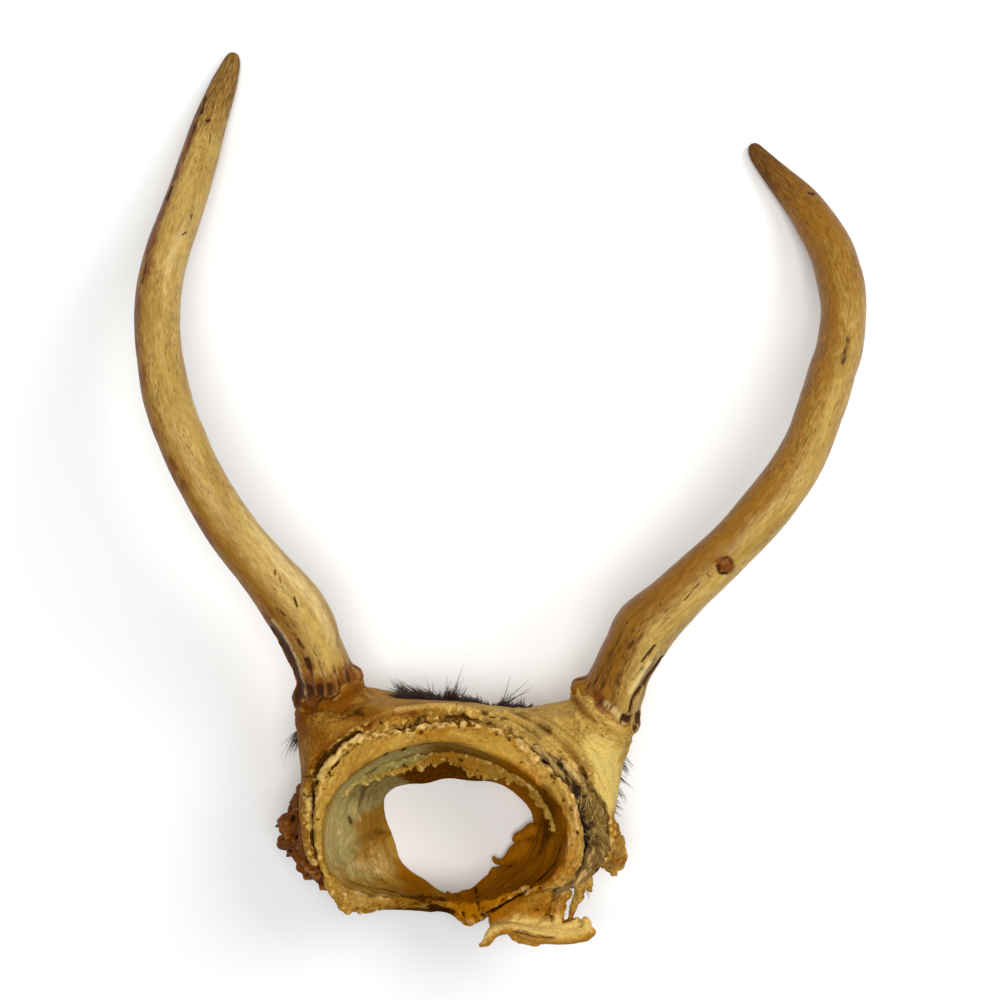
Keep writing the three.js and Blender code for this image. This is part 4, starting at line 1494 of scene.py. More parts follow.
        # painted shade on the upper left wall below the lining
        shade = window(arc + 0.5 * wander, 116, 170, 12) * fall(level, 18, 36)
        skin.stain(SOIL, inner * shade * 0.42)
        ochre = window(loose, 168, 204, 14) * fall(level, 4, 26)
        skin.stain(RUST, inner * ochre * 0.22)
        skin.stain(SOIL, inner * ochre * 0.24)
        skin.stain(RUST, inner * fall(loose, 34, 70) * 0.8)
        # painted shadow with stain: the deep roof wall under the lining, redder and darker
        skin.stain(RUST, inner * window(arc, 45, 135, 8) * fall(level, 20, 30))
        deep = inner * window(arc, 40, 140, 12) * fall(level, 12, 27)
        skin.stain(SOIL, deep * 0.6)
        skin.stain(RUST, inner * window(loose, 232, 275, 10) * 0.45)
        skin.stain(RUST, rim * fall(loose, -42, -20) * 0.7)
        skin.stain(PALE, rim * window(loose, -36, 50, 12) * 0.18)
        skin.stain(WASH, rim * window(loose, 96, 200, 14) * 0.16)
        skin.stain(RUST, rim * window(loose, 202, 232, 8) * 0.34)
        skin.stain(SOIL, rim * window(loose, 236, 280, 8) * 0.42)
        skin.stain(RUST, rim * fade(loose, 225, 245) * 0.6)
        skin.stain(RUST, fade(skin.rough(5, 3), 0.1, 0.5) * 0.5 * rim)
        # pale crests on the rim and its beads: partly bleached bone, partly painted highlights
        crest = fade(-skin.hollows(5), 0.04, 0.16)
        skin.stain(PALE, crest * rim * outer * (0.34 + 0.16 * window(arc, 30, 128, 12)))
        lip = fade(outer, 0.86, 1) * window(arc + 0.5 * wander, 50, 165, 10)
        lip = lip * fade(skin.rough(2.2, 2), -0.3, 0.3) * (1.0 - crest)
        skin.stain(SOIL, lip * rim * 0.6)
        row = window(arc, 132, 162, 1.5)
        skin.stain(PALE, crest * rim * outer * row * 0.5)
        # painted shade in hollows, partly grime
        skin.stain(SOIL, fade(skin.hollows(6), 0.03, 0.2) * 0.85 * (0.3 + 0.7 * np.maximum(rim, outer)))
        # painted shade on the outer face below the rim, in the gap under the skin
        skin.stain(SOIL, (1.0 - inner) * outer * (1.0 - rim) * 0.7)


@dataclass
class ScalpHide:
    """Dried skin over the roof and flanks, drawn up round both pedicles."""

    step: float = 0.5
    seed: int = 8
    span: tuple[float, float] = (-9.0, 196.0)
    sleeve_radii: tuple[float, float, float] = (11.6, 9.5, 10.9)
    sleeve_rise: float = 3.7
    marks: tuple[Stroke, ...] = (
        streak(WASH, 3.4, 1, 0, (27, -74), (29, -78), (30, -83), (29.2, -88)),
        streak(WASH, 2.4, 0.4, 0, (24, -73), (26, -77), (27.6, -83)),
        # pale fold beside the right burr: paler skin with a painted highlight
        streak(PALE, 1.6, 0.4, 0.4, (24.6, -63), (29, -66.4), (33.6, -69.4)),
        mark(0.35, 0.5, -0.5, (20.6, -62.6), (24.2, -67.4), (29, -70.6), (33.4, -72)),
        mark(0.3, 0.3, -0.4, (22, -66.6), (26, -71), (32, -73.6)),
        mark(0.3, 0.3, -0.4, (19, -66), (22, -71.4), (26, -74)),
        mark(0.4, 0.45, -0.4, (26.4, -64.6), (28, -66.8), (30.6, -67.4)),
        # pale fold crests beside the right burr: paler skin with painted highlights
        streak(PALE, 0.5, 0.7, 0.5, (20.2, -64), (24, -69), (29, -72)),
        streak(PALE, 0.4, 0.4, 0.4, (22, -68.6), (26, -72.6), (31.6, -75)),
        streak(RUST, 1.1, 0.7, 0, (19.8, -59.6), (22.6, -63.4), (25.6, -65.8)),
        mark(0.3, 0.5, -0.3, (21.4, -60.6), (24.8, -64.5)),
        mark(0.3, 0.4, -0.3, (17.6, -62.6), (21, -67)),
        mark(0.3, 0.6, -0.3, (-13, -61.1), (-13, -63.6)),
        mark(0.4, 0.9, -0.4, (-56.4, -81.6), (-52.5, -81.6)),
        streak(PALE, 0.9, 0.7, 0.6, (-55.6, -85.6), (-54.4, -90), (-53.6, -95)),
        mark(0.6, 0.8, -0.5, (-53.6, -84), (-52.6, -89), (-52.2, -96)),
        streak(RUST, 4, 0.4, 0, (-56.2, -66.2), (-50, -73.4), (-52, -81)),
        streak(RUST, 2.6, 0.9, 0.3, (-56.6, -62.4), (-52, -61), (-46, -60.6), (-41, -57)),
        streak(SOIL, 1.3, 0.35, 0, (-55.6, -61), (-51, -59.4), (-46, -59)),
        mark(0.4, 0.5, -0.5, (-55.6, -64), (-51, -63), (-45.6, -63.4), (-40.6, -60.4)),
        mark(0.3, 0.4, -0.4, (-53.6, -66.4), (-47.6, -66), (-42, -63.6)),
        streak(RUST, 2, 0.6, 0, (-44.4, -63), (-34.6, -64.4), (-26.2, -63.6)),
        streak(PALE, 0.8, 0.3, 0.4, (-50, -75), (-42, -68), (-31, -63), (-17, -61.6), (-4, -62.6)),
        # folds down the right side: dark valleys partly grime and partly painted shade, pale crests partly
        # painted highlights
        mark(0.6, 0.35, -0.7, (-2.5, -63.8), (6, -67.8), (13.5, -74.2), (19.5, -82.4), (23, -90)),
        streak(PALE, 0.5, 0.5, 0.6, (0.4, -63.4), (10.2, -68.8), (18.6, -77), (24.2, -88)),
        mark(0.6, 0.4, -0.7, (1.8, -62.4), (12, -68), (20.4, -76.6), (26, -88)),
        streak(PALE, 0.5, 0.3, 0.5, (3.2, -61.9), (14.4, -68), (22.2, -76.2), (27.4, -88)),
        streak(PALE, 0.8, 0.4, 0.8, (-30, -63.2), (-17.8, -62.2), (-6.6, -63.4), (-1, -65),
               (4.6, -67.6), (10.2, -71.2), (14.4, -74.6)),
        mark(0.6, 0.5, -0.7, (-26.2, -63.8), (-17.8, -64.4), (-10.8, -65), (-5, -66.8)),
        mark(0.7, 0.9, -0.6, (-52, -79), (-48.6, -74.6), (-44.4, -71.2), (-40.2, -69.2)),
        streak(RUST, 1.5, 0.8, 0, (-50.6, -76.8), (-44.6, -70.4), (-38.6, -67.6)),
        streak(SOIL, 2.2, 0.28, 0, (-57, -64.6), (-51, -64.4), (-45, -64.8), (-39.6, -61.4)),
        # dark valleys between the right side's folds: partly grime, partly painted shade
        mark(0.5, 0.4, -0.7, (7, -62), (16.4, -67.4), (24, -75.4), (28.6, -85)),
        mark(2.2, 0.24, 0, (10, -67), (17.6, -72), (22.8, -79), (25.6, -87)),
        mark(0.8, 0.5, -0.5, (21.5, -79.5), (22.6, -82)),
        mark(0.9, 0.7, -0.6, (-41.4, -63.1), (-39.4, -63.9)),
        mark(0.5, 0.35, -0.4, (-55, -58.5), (-48, -61), (-41, -57)),
        mark(0.3, 0.3, -0.3, (-52, -63), (-45, -65), (-39, -61.5)),
    )

    def __post_init__(self) -> None:
        """Make the noise that frays and wrinkles the skin."""
        self.noise = Noise(self.seed)

    def sleeve(self, antler: Antler) -> list[tuple[float, ...]]:
        """Stations of the skin round one pedicle, up to the burr.

        Args:
            antler: The antler on that pedicle.

        Returns:
            Rows of [x, y, z, radius].
        """
        base = np.array(antler.burr_base)
        ends = (base - antler.axis * 6.0, base + antler.axis * self.sleeve_rise)
        spots = (np.array(antler.pedicle_root), *ends)
        return [(*spot, radius) for spot, radius in zip(spots, self.sleeve_radii)]

    def shape(self, points: Array) -> Array:
        """Field of the skin: a shell over the bone, blended with a sleeve at each antler.

        Args:
            points: Rows of [x, y, z].

        Returns:
            Distance from its surface, below 0 inside.
        """
        bearing, radius = FORM.polar(points)
        height = points[:, 2]
        arc = np.mod(bearing + 100.0, 360.0) - 100.0
        outer = radius - FORM.scalp_outside(bearing, height)
        frayed = np.zeros(len(points))
        side = (arc < self.span[0] + 22.0) | (arc > self.span[1] - 22.0)
        if side.any():
            frayed[side] = 9.0 * self.noise.layered(points[side], 9, 3)
        low, high = self.span
        ends = np.maximum(low + frayed - arc, arc - high - frayed) * radius * math.pi / 180.0
        cuts = np.maximum(height - FORM.scalp_rear, FORM.scalp_front - height)
        shell = blend_max(outer, np.maximum(ends, cuts), 2.2)
        for antler in (LEFT_ANTLER, RIGHT_ANTLER):
            offset = points - np.array(antler.burr_base)
            near = np.linalg.norm(offset, axis=1) < 34.0
            if not near.any():
                continue
            tube = rod(points[near], self.sleeve(antler), 8)
            torn = 0.7 * np.sin(points[near, 0] * 1.1) + 0.5 * np.sin(points[near, 1] * 1.7 + 1.0)
            upper = fade(offset[near, 2], -5, 5) * fall(np.abs(offset[near, 0]), 7, 9.5)
            past = offset[near] @ antler.axis - 0.2 - torn - self.sleeve_rise * upper
            tube = blend_max(tube, past, 1.0)
            joined = blend_min(shell[near], tube, 7.0)
            shell[near] = np.maximum(joined, past)
        crack = 0.2 + 0.4 * np.sin(arc * 0.31) * np.sin(arc * 0.13 + 1.0)
        crack = crack - 0.9 * window(arc, 40, 172, 10)
        bone = FORM.scalp_inside(bearing, height) + crack - radius
        return blend_max(shell, bone, 1.2)

    def build(self) -> bpy.types.Object:
        """Mesh, wrinkle and stain the skin, with painted shade in its hollows and painted highlights on
        its crests.

        Returns:
            The new object.
        """
        noise = self.noise
        skin = surface_of(self.shape, (-63, -113, 0.4), (43, -47, 50), self.step, noise)
        bearing, radius = FORM.polar(skin.points)
        arc = turned(bearing)
        height = skin.points[:, 2].copy()
        skin.push(0.5 * skin.rough(11, 2))
        for antler in (LEFT_ANTLER, RIGHT_ANTLER):
            self.pull(skin, antler)
        skin.push(0.22 * skin.rough(2.6, 4))
        flank = fall(arc, 55, 85) * fade(height, 24, 36)
        folds = noise.layered(np.column_stack([radius, arc * 0.05, height * 0.5]), 2.2, 2)
        skin.push(0.55 * folds * flank)
        depth = radius - FORM.scalp_inside(bearing, height)
        edge = fade(height, 42, 47) * fall(depth, 1.5, 4)
        skin.push(0.7 * skin.rough(3.4, 3) * edge)
        patchy = skin.rough(7, 3)
        skin.stain(RUST, fade(patchy, 0.05, 0.5) * (0.15 + 0.35 * fade(arc, 85, 120)))
        skin.stain(WASH, window(arc + 14.0 * patchy, 20, 84, 14) * 0.4)
        skin.stain(RUST, fade(arc, 120, 165) * 0.35)
        # painted shade in the skin's hollows, partly grime
        skin.stain(SOIL, fade(skin.hollows(6), 0.05, 0.28) * 0.6)
        near_rim = fade(height, 34, 44) * fall(depth, 1.6, 4.4)
        seam = fade(height, 40, 46) * fall(depth, 0.5, 2)
        broken = fade(skin.rough(2, 3, 30), -0.4, 0.2)
        skin.stain(SOIL, seam * broken * window(arc, 44, 172, 10) * 0.6)
        skin.push(0.5 * skin.rough(1.5, 2, 70) * near_rim)
        spotty = fade(skin.rough(1.5, 2), 0, 0.45)
        skin.stain(SOIL, near_rim * spotty * window(arc, 55, 175, 12) * 0.8)
        # pale crests: partly paler dry skin, partly painted highlights
        skin.stain(PALE, edge * fade(-skin.hollows(4), 0.03, 0.12) * 0.8)
        skin.stain(PALE, fade(-skin.hollows(6), 0.06, 0.25) * 0.45)
        skin.stain(SOIL, fade(patchy * flank, 0.15, 0.6) * 0.3)
        skin.draw(self.marks)
        skin.points[:, 2] = np.maximum(skin.points[:, 2], 0.6)
        skin.grain = skin.points.copy()
        return skin.build("scalp_skin", HIDE, "scalp_hide")

    def pull(self, skin: Skin, antler: Antler) -> None:
        """Draw the skin into fine pleats that run up to the burr.

        Args:
            skin: The mesh to change.
            antler: The antler on that pedicle.
        """
        offset = skin.points - np.array(antler.burr_base)
        run = offset @ antler.axis
        spoke = offset - run[:, None] * antler.axis
        away = np.maximum(np.linalg.norm(spoke, axis=1, keepdims=True), 1e-6)
        pleat = spoke / away * 9.0 + run[:, None] * 0.06
        share = np.exp(-((np.linalg.norm(offset, axis=1) / 21.0) ** 2))
        skin.push(0.55 * skin.noise.layered(pleat, 2.2, 2) * share)
        collar = np.exp(-(((run + 1.0) / 1.6) ** 2)) * (np.linalg.norm(offset, axis=1) < 14.0)
        skin.push(0.8 * skin.rough(2.4, 2, 20) * collar)


def polygon_field(points: Array, corners: Sequence[Spot]) -> Array:
    """Signed distance in plan to a polygon, negative inside.

    Args:
        points: Rows of [x, y, z].
        corners: The polygon's corners in plan.

    Returns:
        One distance for each point.
    """
    ring = np.array([*corners, corners[0]], float)
    gap, _ = from_path(points[:, :2], ring)
    inside = np.zeros(len(points), bool)
    for (ax, ay), (bx, by) in zip(ring[:-1], ring[1:]):
        between = (ay > points[:, 1]) != (by > points[:, 1])
        cut = ax + (points[:, 1] - ay) * (bx - ax) / (by - ay if by != ay else 1e-9)
        inside ^= between & (points[:, 0] < cut)
    return np.where(inside, -gap, gap)


@dataclass
class TemporalBone:
    """Crumbly bone at the lower right, with a smooth bar along its edge that ends in a spur."""

    step: float = 0.36
    seed: int = 14
    thickness: float = 3.0
    low: float = 31.7
    slope: float = 0.45
    start: float = 28.0
    crumbs: int = 90
    corners: tuple[Spot, ...] = (
        (-4.3, -118.2), (-4.2, -121.6), (-2.6, -123.2), (2.2, -122.6), (5, -124.4), (12, -124.8),
        (15.6, -122.6), (15.4, -119.8), (14.6, -116.4), (17.2, -113), (20.4, -108.4), (12, -96),
        (4, -104), (-3, -110),
    )
    bar: tuple[Station, ...] = (
        (-6.3, -127.2, 36, 0.9), (-4.6, -126, 36.3, 1.4), (-2.7, -123.6, 36.8, 1.6),
        (0.4, -122.4, 37.6, 1.6), (4.5, -122.6, 38.4, 1.6), (8.7, -123.7, 39.2, 2),
        (14.1, -124, 40, 2.3), (19, -123.6, 41, 2.3), (22.6, -122.8, 41.6, 2),
        (24.2, -122.6, 41.6, 1.2),
    )
    spurs: tuple[tuple[Station, ...], ...] = (
        ((22.4, -123, 41.6, 1.8), (22.8, -120.6, 42.2, 1.2), (22.3, -118.8, 42.4, 0.8)),
        ((16.6, -121.6, 39.6, 1.4), (19.2, -120.6, 40, 1.3), (22, -119.6, 40.6, 0.9)),
        ((14.4, -124, 39.4, 1.6), (15.2, -120.5, 39.2, 1.3), (15.2, -116, 38.6, 1.4),
         (17, -112.6, 38, 1.6)),
        ((2.3, -123.9, 36.4, 1), (4.5, -125.3, 36.4, 1.4), (7.8, -126, 37, 1.2), (12, -126.2, 38, 0.5)),
    )
    marks: tuple[Stroke, ...] = (
        streak(WASH, 2.6, 1.2, 0, (6, -123), (10, -124), (15, -124), (20, -123.6), (23, -122.4)),
        streak(WASH, 1.7, 0.9, 0, (-6, -127), (-3.4, -124.4), (0, -122.4), (3, -122)),
        streak(WASH, 1.3, 0.7, 0, (15.2, -122), (15.2, -117), (17, -113)),
        mark(0.7, 0.9, -0.4, (3, -125), (6, -125.6), (9, -126.4), (14, -126.6)),
        mark(0.3, 0.8, -0.3, (4, -124.2), (7, -125), (11, -126)),
        streak(RUST, 1.1, 1, 0, (17, -121.4), (19.5, -120.8), (21.8, -119.8)),
        mark(0.9, 0.7, -0.4, (16.8, -122), (18, -121.6)),
        streak(RUST, 3.2, 1.1, 0, (-3, -119.5), (2, -116), (8, -110.5), (13, -104)),
    )

    def away(self, points: Array) -> Array:
        """Distance in plan from the cavity's rear middle."""
        return np.hypot(points[:, 0] - FORM.cavity_rear[0], points[:, 1] - FORM.cavity_rear[1])

    def middle(self, points: Array) -> Array:
        """Height of the sheet's middle."""
        return self.low + self.slope * np.maximum(self.away(points) - self.start, 0.0)

    def shape(self, points: Array) -> Array:
        """Field of the sheet and its bar, cut off where the ring begins.

        Args:
            points: Rows of [x, y, z].

        Returns:
            Distance from its surface, below 0 inside.
        """
        bearing, radius = FORM.polar(points)
        plan = polygon_field(points, self.corners)
        sheet = np.abs(points[:, 2] - self.middle(points)) - self.thickness / 2
        bone = blend_max(plan, sheet, 1.6)
        bone = blend_min(bone, rod(points, self.bar), 2.0)
        for spur in self.spurs:
            bone = blend_min(bone, rod(points, spur), 1.2)
        ring = FORM.outside(bearing, points[:, 2]) + 0.1 - radius
        return np.maximum(bone, ring)

    def build(self) -> bpy.types.Object:
        """Mesh and crumble the bone.

        Returns:
            The new object.
        """
        noise = Noise(self.seed)
        rng = np.random.default_rng(self.seed)
        skin = surface_of(self.shape, (-10, -130, 27), (28, -92, 50), self.step, noise)
        smooth = fall(rod(skin.points, self.bar[2:]), 0.2, 1.6)
        inner = fall(self.away(skin.points), 32, 36)
        smooth = np.maximum(smooth, inner)
        count = self.crumbs
        flat = rng.uniform(2, 20, count), rng.uniform(-122, -105, count)
        spots = np.column_stack([*flat, np.zeros(count)])
        spots[:, 2] = self.middle(spots) + self.thickness / 2
        size = rng.uniform(0.6, 1.5, count)
        rough = 1.0 - smooth
        skin.push(bumps(skin.points, spots, size, size * 0.6) * rough)
        skin.push(0.75 * skin.rough(3.2, 3) * rough)
        skin.push(0.25 * skin.rough(1.2, 2) * rough)
        skin.stain(RUST, fade(skin.rough(6, 3), -0.3, 0.4) * 0.6 * rough)
        # painted shade in hollows and painted highlights on crests, partly grime and paler bone
        skin.stain(SOIL, fade(skin.hollows(6), 0.04, 0.26) * 0.7 * (1.0 - 0.7 * smooth))
        skin.stain(PALE, fade(-skin.hollows(6), 0.05, 0.2) * 0.6 * (1.0 - inner))
        skin.draw(self.marks)
        return skin.build("temporal_plate", CRUMB, "temporal_bone")


@dataclass
class JawMuscle:
    """Dried, fibrous muscle between bone and skin on the right flank."""

    step: float = 0.42
    seed: int = 31
    span: tuple[float, float] = (-30.0, 42.0)
    marks: tuple[Stroke, ...] = (
        mark(1.3, 1.2, -1.6, (20.8, -86), (23.4, -90)),
        mark(0.7, 0.7, -0.8, (14, -76.6), (18.6, -82), (21.4, -87)),
        mark(0.8, 0.5, -0.8, (24, -92), (25, -98), (24.4, -104)),
        streak(PALE, 0.6, 0.8, 0.8, (16, -76.4), (21, -82.4), (24.4, -88)),
        streak(PALE, 0.5, 0.9, 0.8, (23.6, -91), (25.6, -94.6), (28, -98)),
    )

    def shape(self, points: Array) -> Array:
        """Field of the muscle.

        Args:
            points: Rows of [x, y, z].

        Returns:
            Distance from its surface, below 0 inside.
        """
        bearing, radius = FORM.polar(points)
        height = points[:, 2]
        bone = FORM.outside(bearing, height)
        deep = np.maximum(FORM.flesh(bearing), 1.6)
        layer = np.maximum(bone + 0.2 - radius, radius - bone - deep - 0.9)
        arc = turned(bearing)
        frayed = 2.5 * np.sin(height * 0.8) + 2.0 * np.sin(radius * 1.9)
        ends = np.maximum(self.span[0] + frayed - arc, arc - self.span[1]) * 0.62
        top = 46.0 + 1.3 * np.sin(arc * 0.35) - 0.25 * np.abs(radius - bone - 0.5 * deep)
        top = top + 2.6 * fade(arc, 8, 20)
        cuts = np.maximum(12.0 - height, height - top)
        return blend_max(layer, np.maximum(ends, cuts), 1.8)

    def build(self) -> bpy.types.Object:
        """Mesh the muscle and part it into fibres that run round the ring.

        Returns:
            The new object.
        """
        noise = Noise(self.seed)
        skin = surface_of(self.shape, (6, -119, 10), (33, -68, 50), self.step, noise)
        bearing, radius = FORM.polar(skin.points)
        arc = turned(bearing)
        fibres = np.column_stack([radius, arc * 0.09, skin.points[:, 2] * 0.8])
        skin.push(0.75 * noise.layered(fibres, 1.9, 2) + 0.3 * skin.rough(3.5, 2))
        strands = noise.layered(fibres + 30, 1.3, 2)
        # painted shade in hollows, with the dark strands of the dried muscle
        skin.stain(SOIL, np.maximum(fade(skin.hollows(5), 0, 0.25), fade(strands, 0.15, 0.6) * 0.6))
        skin.stain(PALE, fade(-strands, 0.05, 0.5) * 0.9)
        skin.stain(WASH, fade(arc, 14, 28) * 0.9)
        skin.stain(PALE, fade(arc, 10, 26) * fade(strands, -0.5, 0.2) * 0.4)
        skin.stain(SOIL, window(arc + 6.0 * strands, -14, 12, 6) * 0.15)
        skin.draw(self.marks)
        skin.grain = fibres * 1.3
        return skin.build("jaw_flesh", MATTED, "jaw_muscle")


@dataclass
class Lump:
    """Dried lump or strands, each along [x, y, z, radius] stations."""

    node: str
    finish: Finish
    strands: tuple[tuple[Station, ...], ...]
    step: float = 0.4
    seed: int = 41
    rough: float = 0.8
    rough_size: float = 3.0
    merge: float = 1.2
    granules: int = 24

    def shape(self, points: Array) -> Array:
        """Field of the joined strands.

        Args:
            points: Rows of [x, y, z].

        Returns:
            Distance from its surface, below 0 inside.
        """
        total = rod(points, self.strands[0])
        for strand in self.strands[1:]:
            total = blend_min(total, rod(points, strand), self.merge)
        return total

    def build(self) -> bpy.types.Object:
        """Mesh the lump with a torn, crumbly surface.

        Returns:
            The new object.
        """
        noise = Noise(self.seed)
        spots = np.array([station for strand in self.strands for station in strand])
        reach = spots[:, 3].max() + 3.0
        low, high = spots[:, :3].min(axis=0) - reach, spots[:, :3].max(axis=0) + reach
        skin = surface_of(self.shape, low, high, self.step, noise)
        rng = np.random.default_rng(self.seed)
        chosen = skin.points[rng.integers(0, len(skin.points), self.granules)]
        size = rng.uniform(0.25, 1.3, self.granules) ** 1.5 * self.rough_size * 0.5
        skin.push(bumps(skin.points, chosen, size, size * 0.35))
        torn = 1.0 - 2.0 * np.abs(skin.rough(self.rough_size, 3))
        skin.push(self.rough * (torn - 0.3))
        skin.push(0.5 * self.rough * noise.layered(skin.points + 9, self.rough_size * 0.4, 2))
        hollow = skin.hollows(6)
        # painted shade in crevices and painted highlights on crests, partly grime and paler tissue
        skin.stain(SOIL, fade(hollow, 0, 0.28))
        skin.stain(PALE, fade(-hollow, 0.1, 0.4) * 0.6)
        skin.stain(RUST, fade(skin.rough(4, 3), 0, 0.5) * 0.7)
        return skin.build(self.node + "_tissue", self.finish, self.node)


LUMPS = (
    Lump(
        "temple_muscle", FLESH,
        (
            ((-53.6, -84, 33, 1.8), (-56, -89.5, 32, 3), (-57.4, -95.6, 31, 4.2),
             (-56.6, -101.4, 30, 4.4), (-54, -105.6, 30, 2.6), (-49.6, -109.4, 30, 1.4)),
            ((-57.6, -94, 31, 2.4), (-61.4, -95.6, 30, 1.5), (-63.8, -95.6, 30, 0.7)),
            ((-58.4, -101.6, 30, 2), (-60.4, -103.6, 29, 1.1)),
            ((-55.6, -104.4, 30, 2), (-56.4, -107.4, 29, 1)),
            ((-52.4, -86.4, 40, 1.6), (-53.6, -95, 41, 1.9), (-52.8, -103, 39, 1.7),
             (-48.6, -109.4, 37, 1)),
        ),
        seed=42, rough=1.7, rough_size=5.0, granules=40, step=0.36,
    ),
    Lump(
        "ear_base", FIBRE,
        (
            ((23.5, -88.3, 36, 1.8), (26.9, -91.9, 34, 2.4), (29.6, -97.1, 30, 2.8),
             (30.5, -101.9, 27, 3.2), (30.6, -106.1, 26, 2.4), (31.1, -109.2, 26, 0.9)),
            ((28.7, -100.8, 29, 2.2), (27.7, -104, 28, 1.8), (28.3, -107, 27, 0.8)),
            ((31.9, -100.3, 27, 1.8), (33.1, -104.2, 27, 1.4), (32.9, -107.3, 26, 0.7)),
        ),
        seed=43, rough=0.7, rough_size=2.2, step=0.36,
    ),
    Lump(
        "sinew_outer", FIBRE,
        (
            ((22.8, -102, 37, 1.6), (22.3, -106, 36, 1.4), (23.4, -109.5, 35, 1.2), (24, -112.5, 34, 0.6)),
            ((23.1, -105.1, 36, 1.2), (22, -111.2, 35, 0.8), (21.8, -113.3, 34, 0.5)),
        ),
        step=0.28, seed=44, rough=0.35, rough_size=1.6,
    ),
    Lump(
        "sinew_inner", FIBRE,
        (
            ((19.3, -100.2, 41, 1.6), (20.2, -106.2, 41, 1.5), (21, -111.3, 40, 1.3),
             (19.7, -115.1, 39, 1), (18.6, -118.5, 38.5, 0.7), (18.6, -120.3, 38.5, 0.6)),
            ((17.1, -105.1, 41, 1.2), (18.5, -108.4, 41, 1.1), (20.7, -109.7, 40, 0.9)),
        ),
        step=0.28, seed=45, rough=0.35, rough_size=1.6,
    ),
)


@dataclass
class BrainLining:
    """Torn, crumbly membrane that stands in from the roof of the cavity."""

    step: float = 0.34
    seed: int = 51
    span: tuple[float, float] = (-13.0, 168.0)
    level: float = 27.6
    thickness: float = 1.7
    crumbs: int = 44
    lip: Outline = Outline(
        (-8, 27), (8, 25.6), (18, 25), (34, 20.6), (44, 18.3), (53, 15.8), (67, 15.4),
        (80, 16.4), (90, 17), (104, 16.8), (120, 17.3), (134, 18.9), (143, 21.2), (150, 23.4),
        (156, 25.4), (163, 27.8), (171, 30.5), (200, 34), (300, 34),
    )

    def shape(self, points: Array) -> Array:
        """Field of the membrane.

        Args:
            points: Rows of [x, y, z].

        Returns:
            Distance from its surface, below 0 inside.
        """
        bearing, radius = FORM.polar(points)
        arc = turned(bearing)
        wall = FORM.inside(bearing, points[:, 2])
        lobes = 0.5 * np.sin(arc * 0.37) + 0.4 * np.sin(arc * 0.83 + 2.0) + 0.3 * np.sin(arc * 1.9)
        lip = np.minimum(self.lip(bearing) + lobes, wall - 1.3)
        level = self.level + 9.0 * fade(arc, 136, 166)
        depth = points[:, 2] - level + 0.25 * (wall - radius) + 0.5 * np.sin(arc * 0.2)
        sheet = np.abs(depth) - self.thickness / 2
        lip = lip + np.maximum(self.span[0] + 24.0 - arc, 0.0) * 0.2
        lip = lip + np.maximum(arc - self.span[1] + 14.0, 0.0) * 0.1
        ends = np.maximum(self.span[0] - arc, arc - self.span[1]) * 0.4
        edge = np.maximum(lip - radius, radius - wall - 0.2)
        return blend_max(edge, np.maximum(sheet, ends), 1.0)

    def build(self) -> bpy.types.Object:
        """Mesh the membrane with a ragged lip.

        Returns:
            The new object.
        """
        noise = Noise(self.seed)
        rng = np.random.default_rng(self.seed)
        skin = surface_of(self.shape, (-50, -100, 22), (16, -68, 42), self.step, noise)
        count = self.crumbs
        bearing = rng.uniform(0.0, 148.0, count)
        height = np.full(count, self.level)
        spots = FORM.place(bearing, self.lip(bearing) + rng.uniform(-0.4, 1.4, count), height)
        size = rng.uniform(0.3, 1.0, count)
        skin.push(bumps(skin.points, spots, size, size * 0.25))
        torn = 1.0 - 2.0 * np.abs(skin.rough(5.2, 4))
        skin.push(0.8 * (torn - 0.3))
        skin.push(0.55 * skin.rough(1.6, 3, 40))
        bearing, radius = FORM.polar(skin.points)
        arc = turned(bearing)
        hollow = skin.hollows(5)
        # painted shade in hollows and painted highlights on crests, partly grime and pale crumbs
        skin.stain(SOIL, fade(hollow, 0.02, 0.2) * 0.8)
        skin.stain(PALE, fade(-hollow, 0.04, 0.24) * 0.6)
        skin.stain(RUST, window(arc, 55, 112, 14) * 0.55)
        skin.stain(WASH, fade(radius - self.lip(bearing), 0.8, 3.2) * fade(arc, 95, 115))
        skin.stain(WASH, fade(arc, 130, 156) * 0.6)
        skin.stain(PALE, fall(arc, 0, 24) * 0.3)
        return skin.build("lining_membrane", LINING, "brain_lining")


# ------------------------ hair and fibres


@dataclass(frozen=True)
class Tuft:
    """Wisps of strands: where their roots lie, which way they start and how they bow.

    Roots lie between start and end, which are (x, y, z), or (bearing, height) on the skin.
    """

    start: tuple[float, ...]
    end: tuple[float, ...]
    wisps: int
    strands: int
    length: tuple[float, float]
    lean: tuple[float, float, float]
    bow: tuple[float, float, float] = (0.0, 0.0, 0.0)
    jitter: float = 0.8
    spread: float = 0.3
    curl: float = 0.35

    @property
    def count(self) -> int:
        """Number of strands."""
        return self.wisps * self.strands


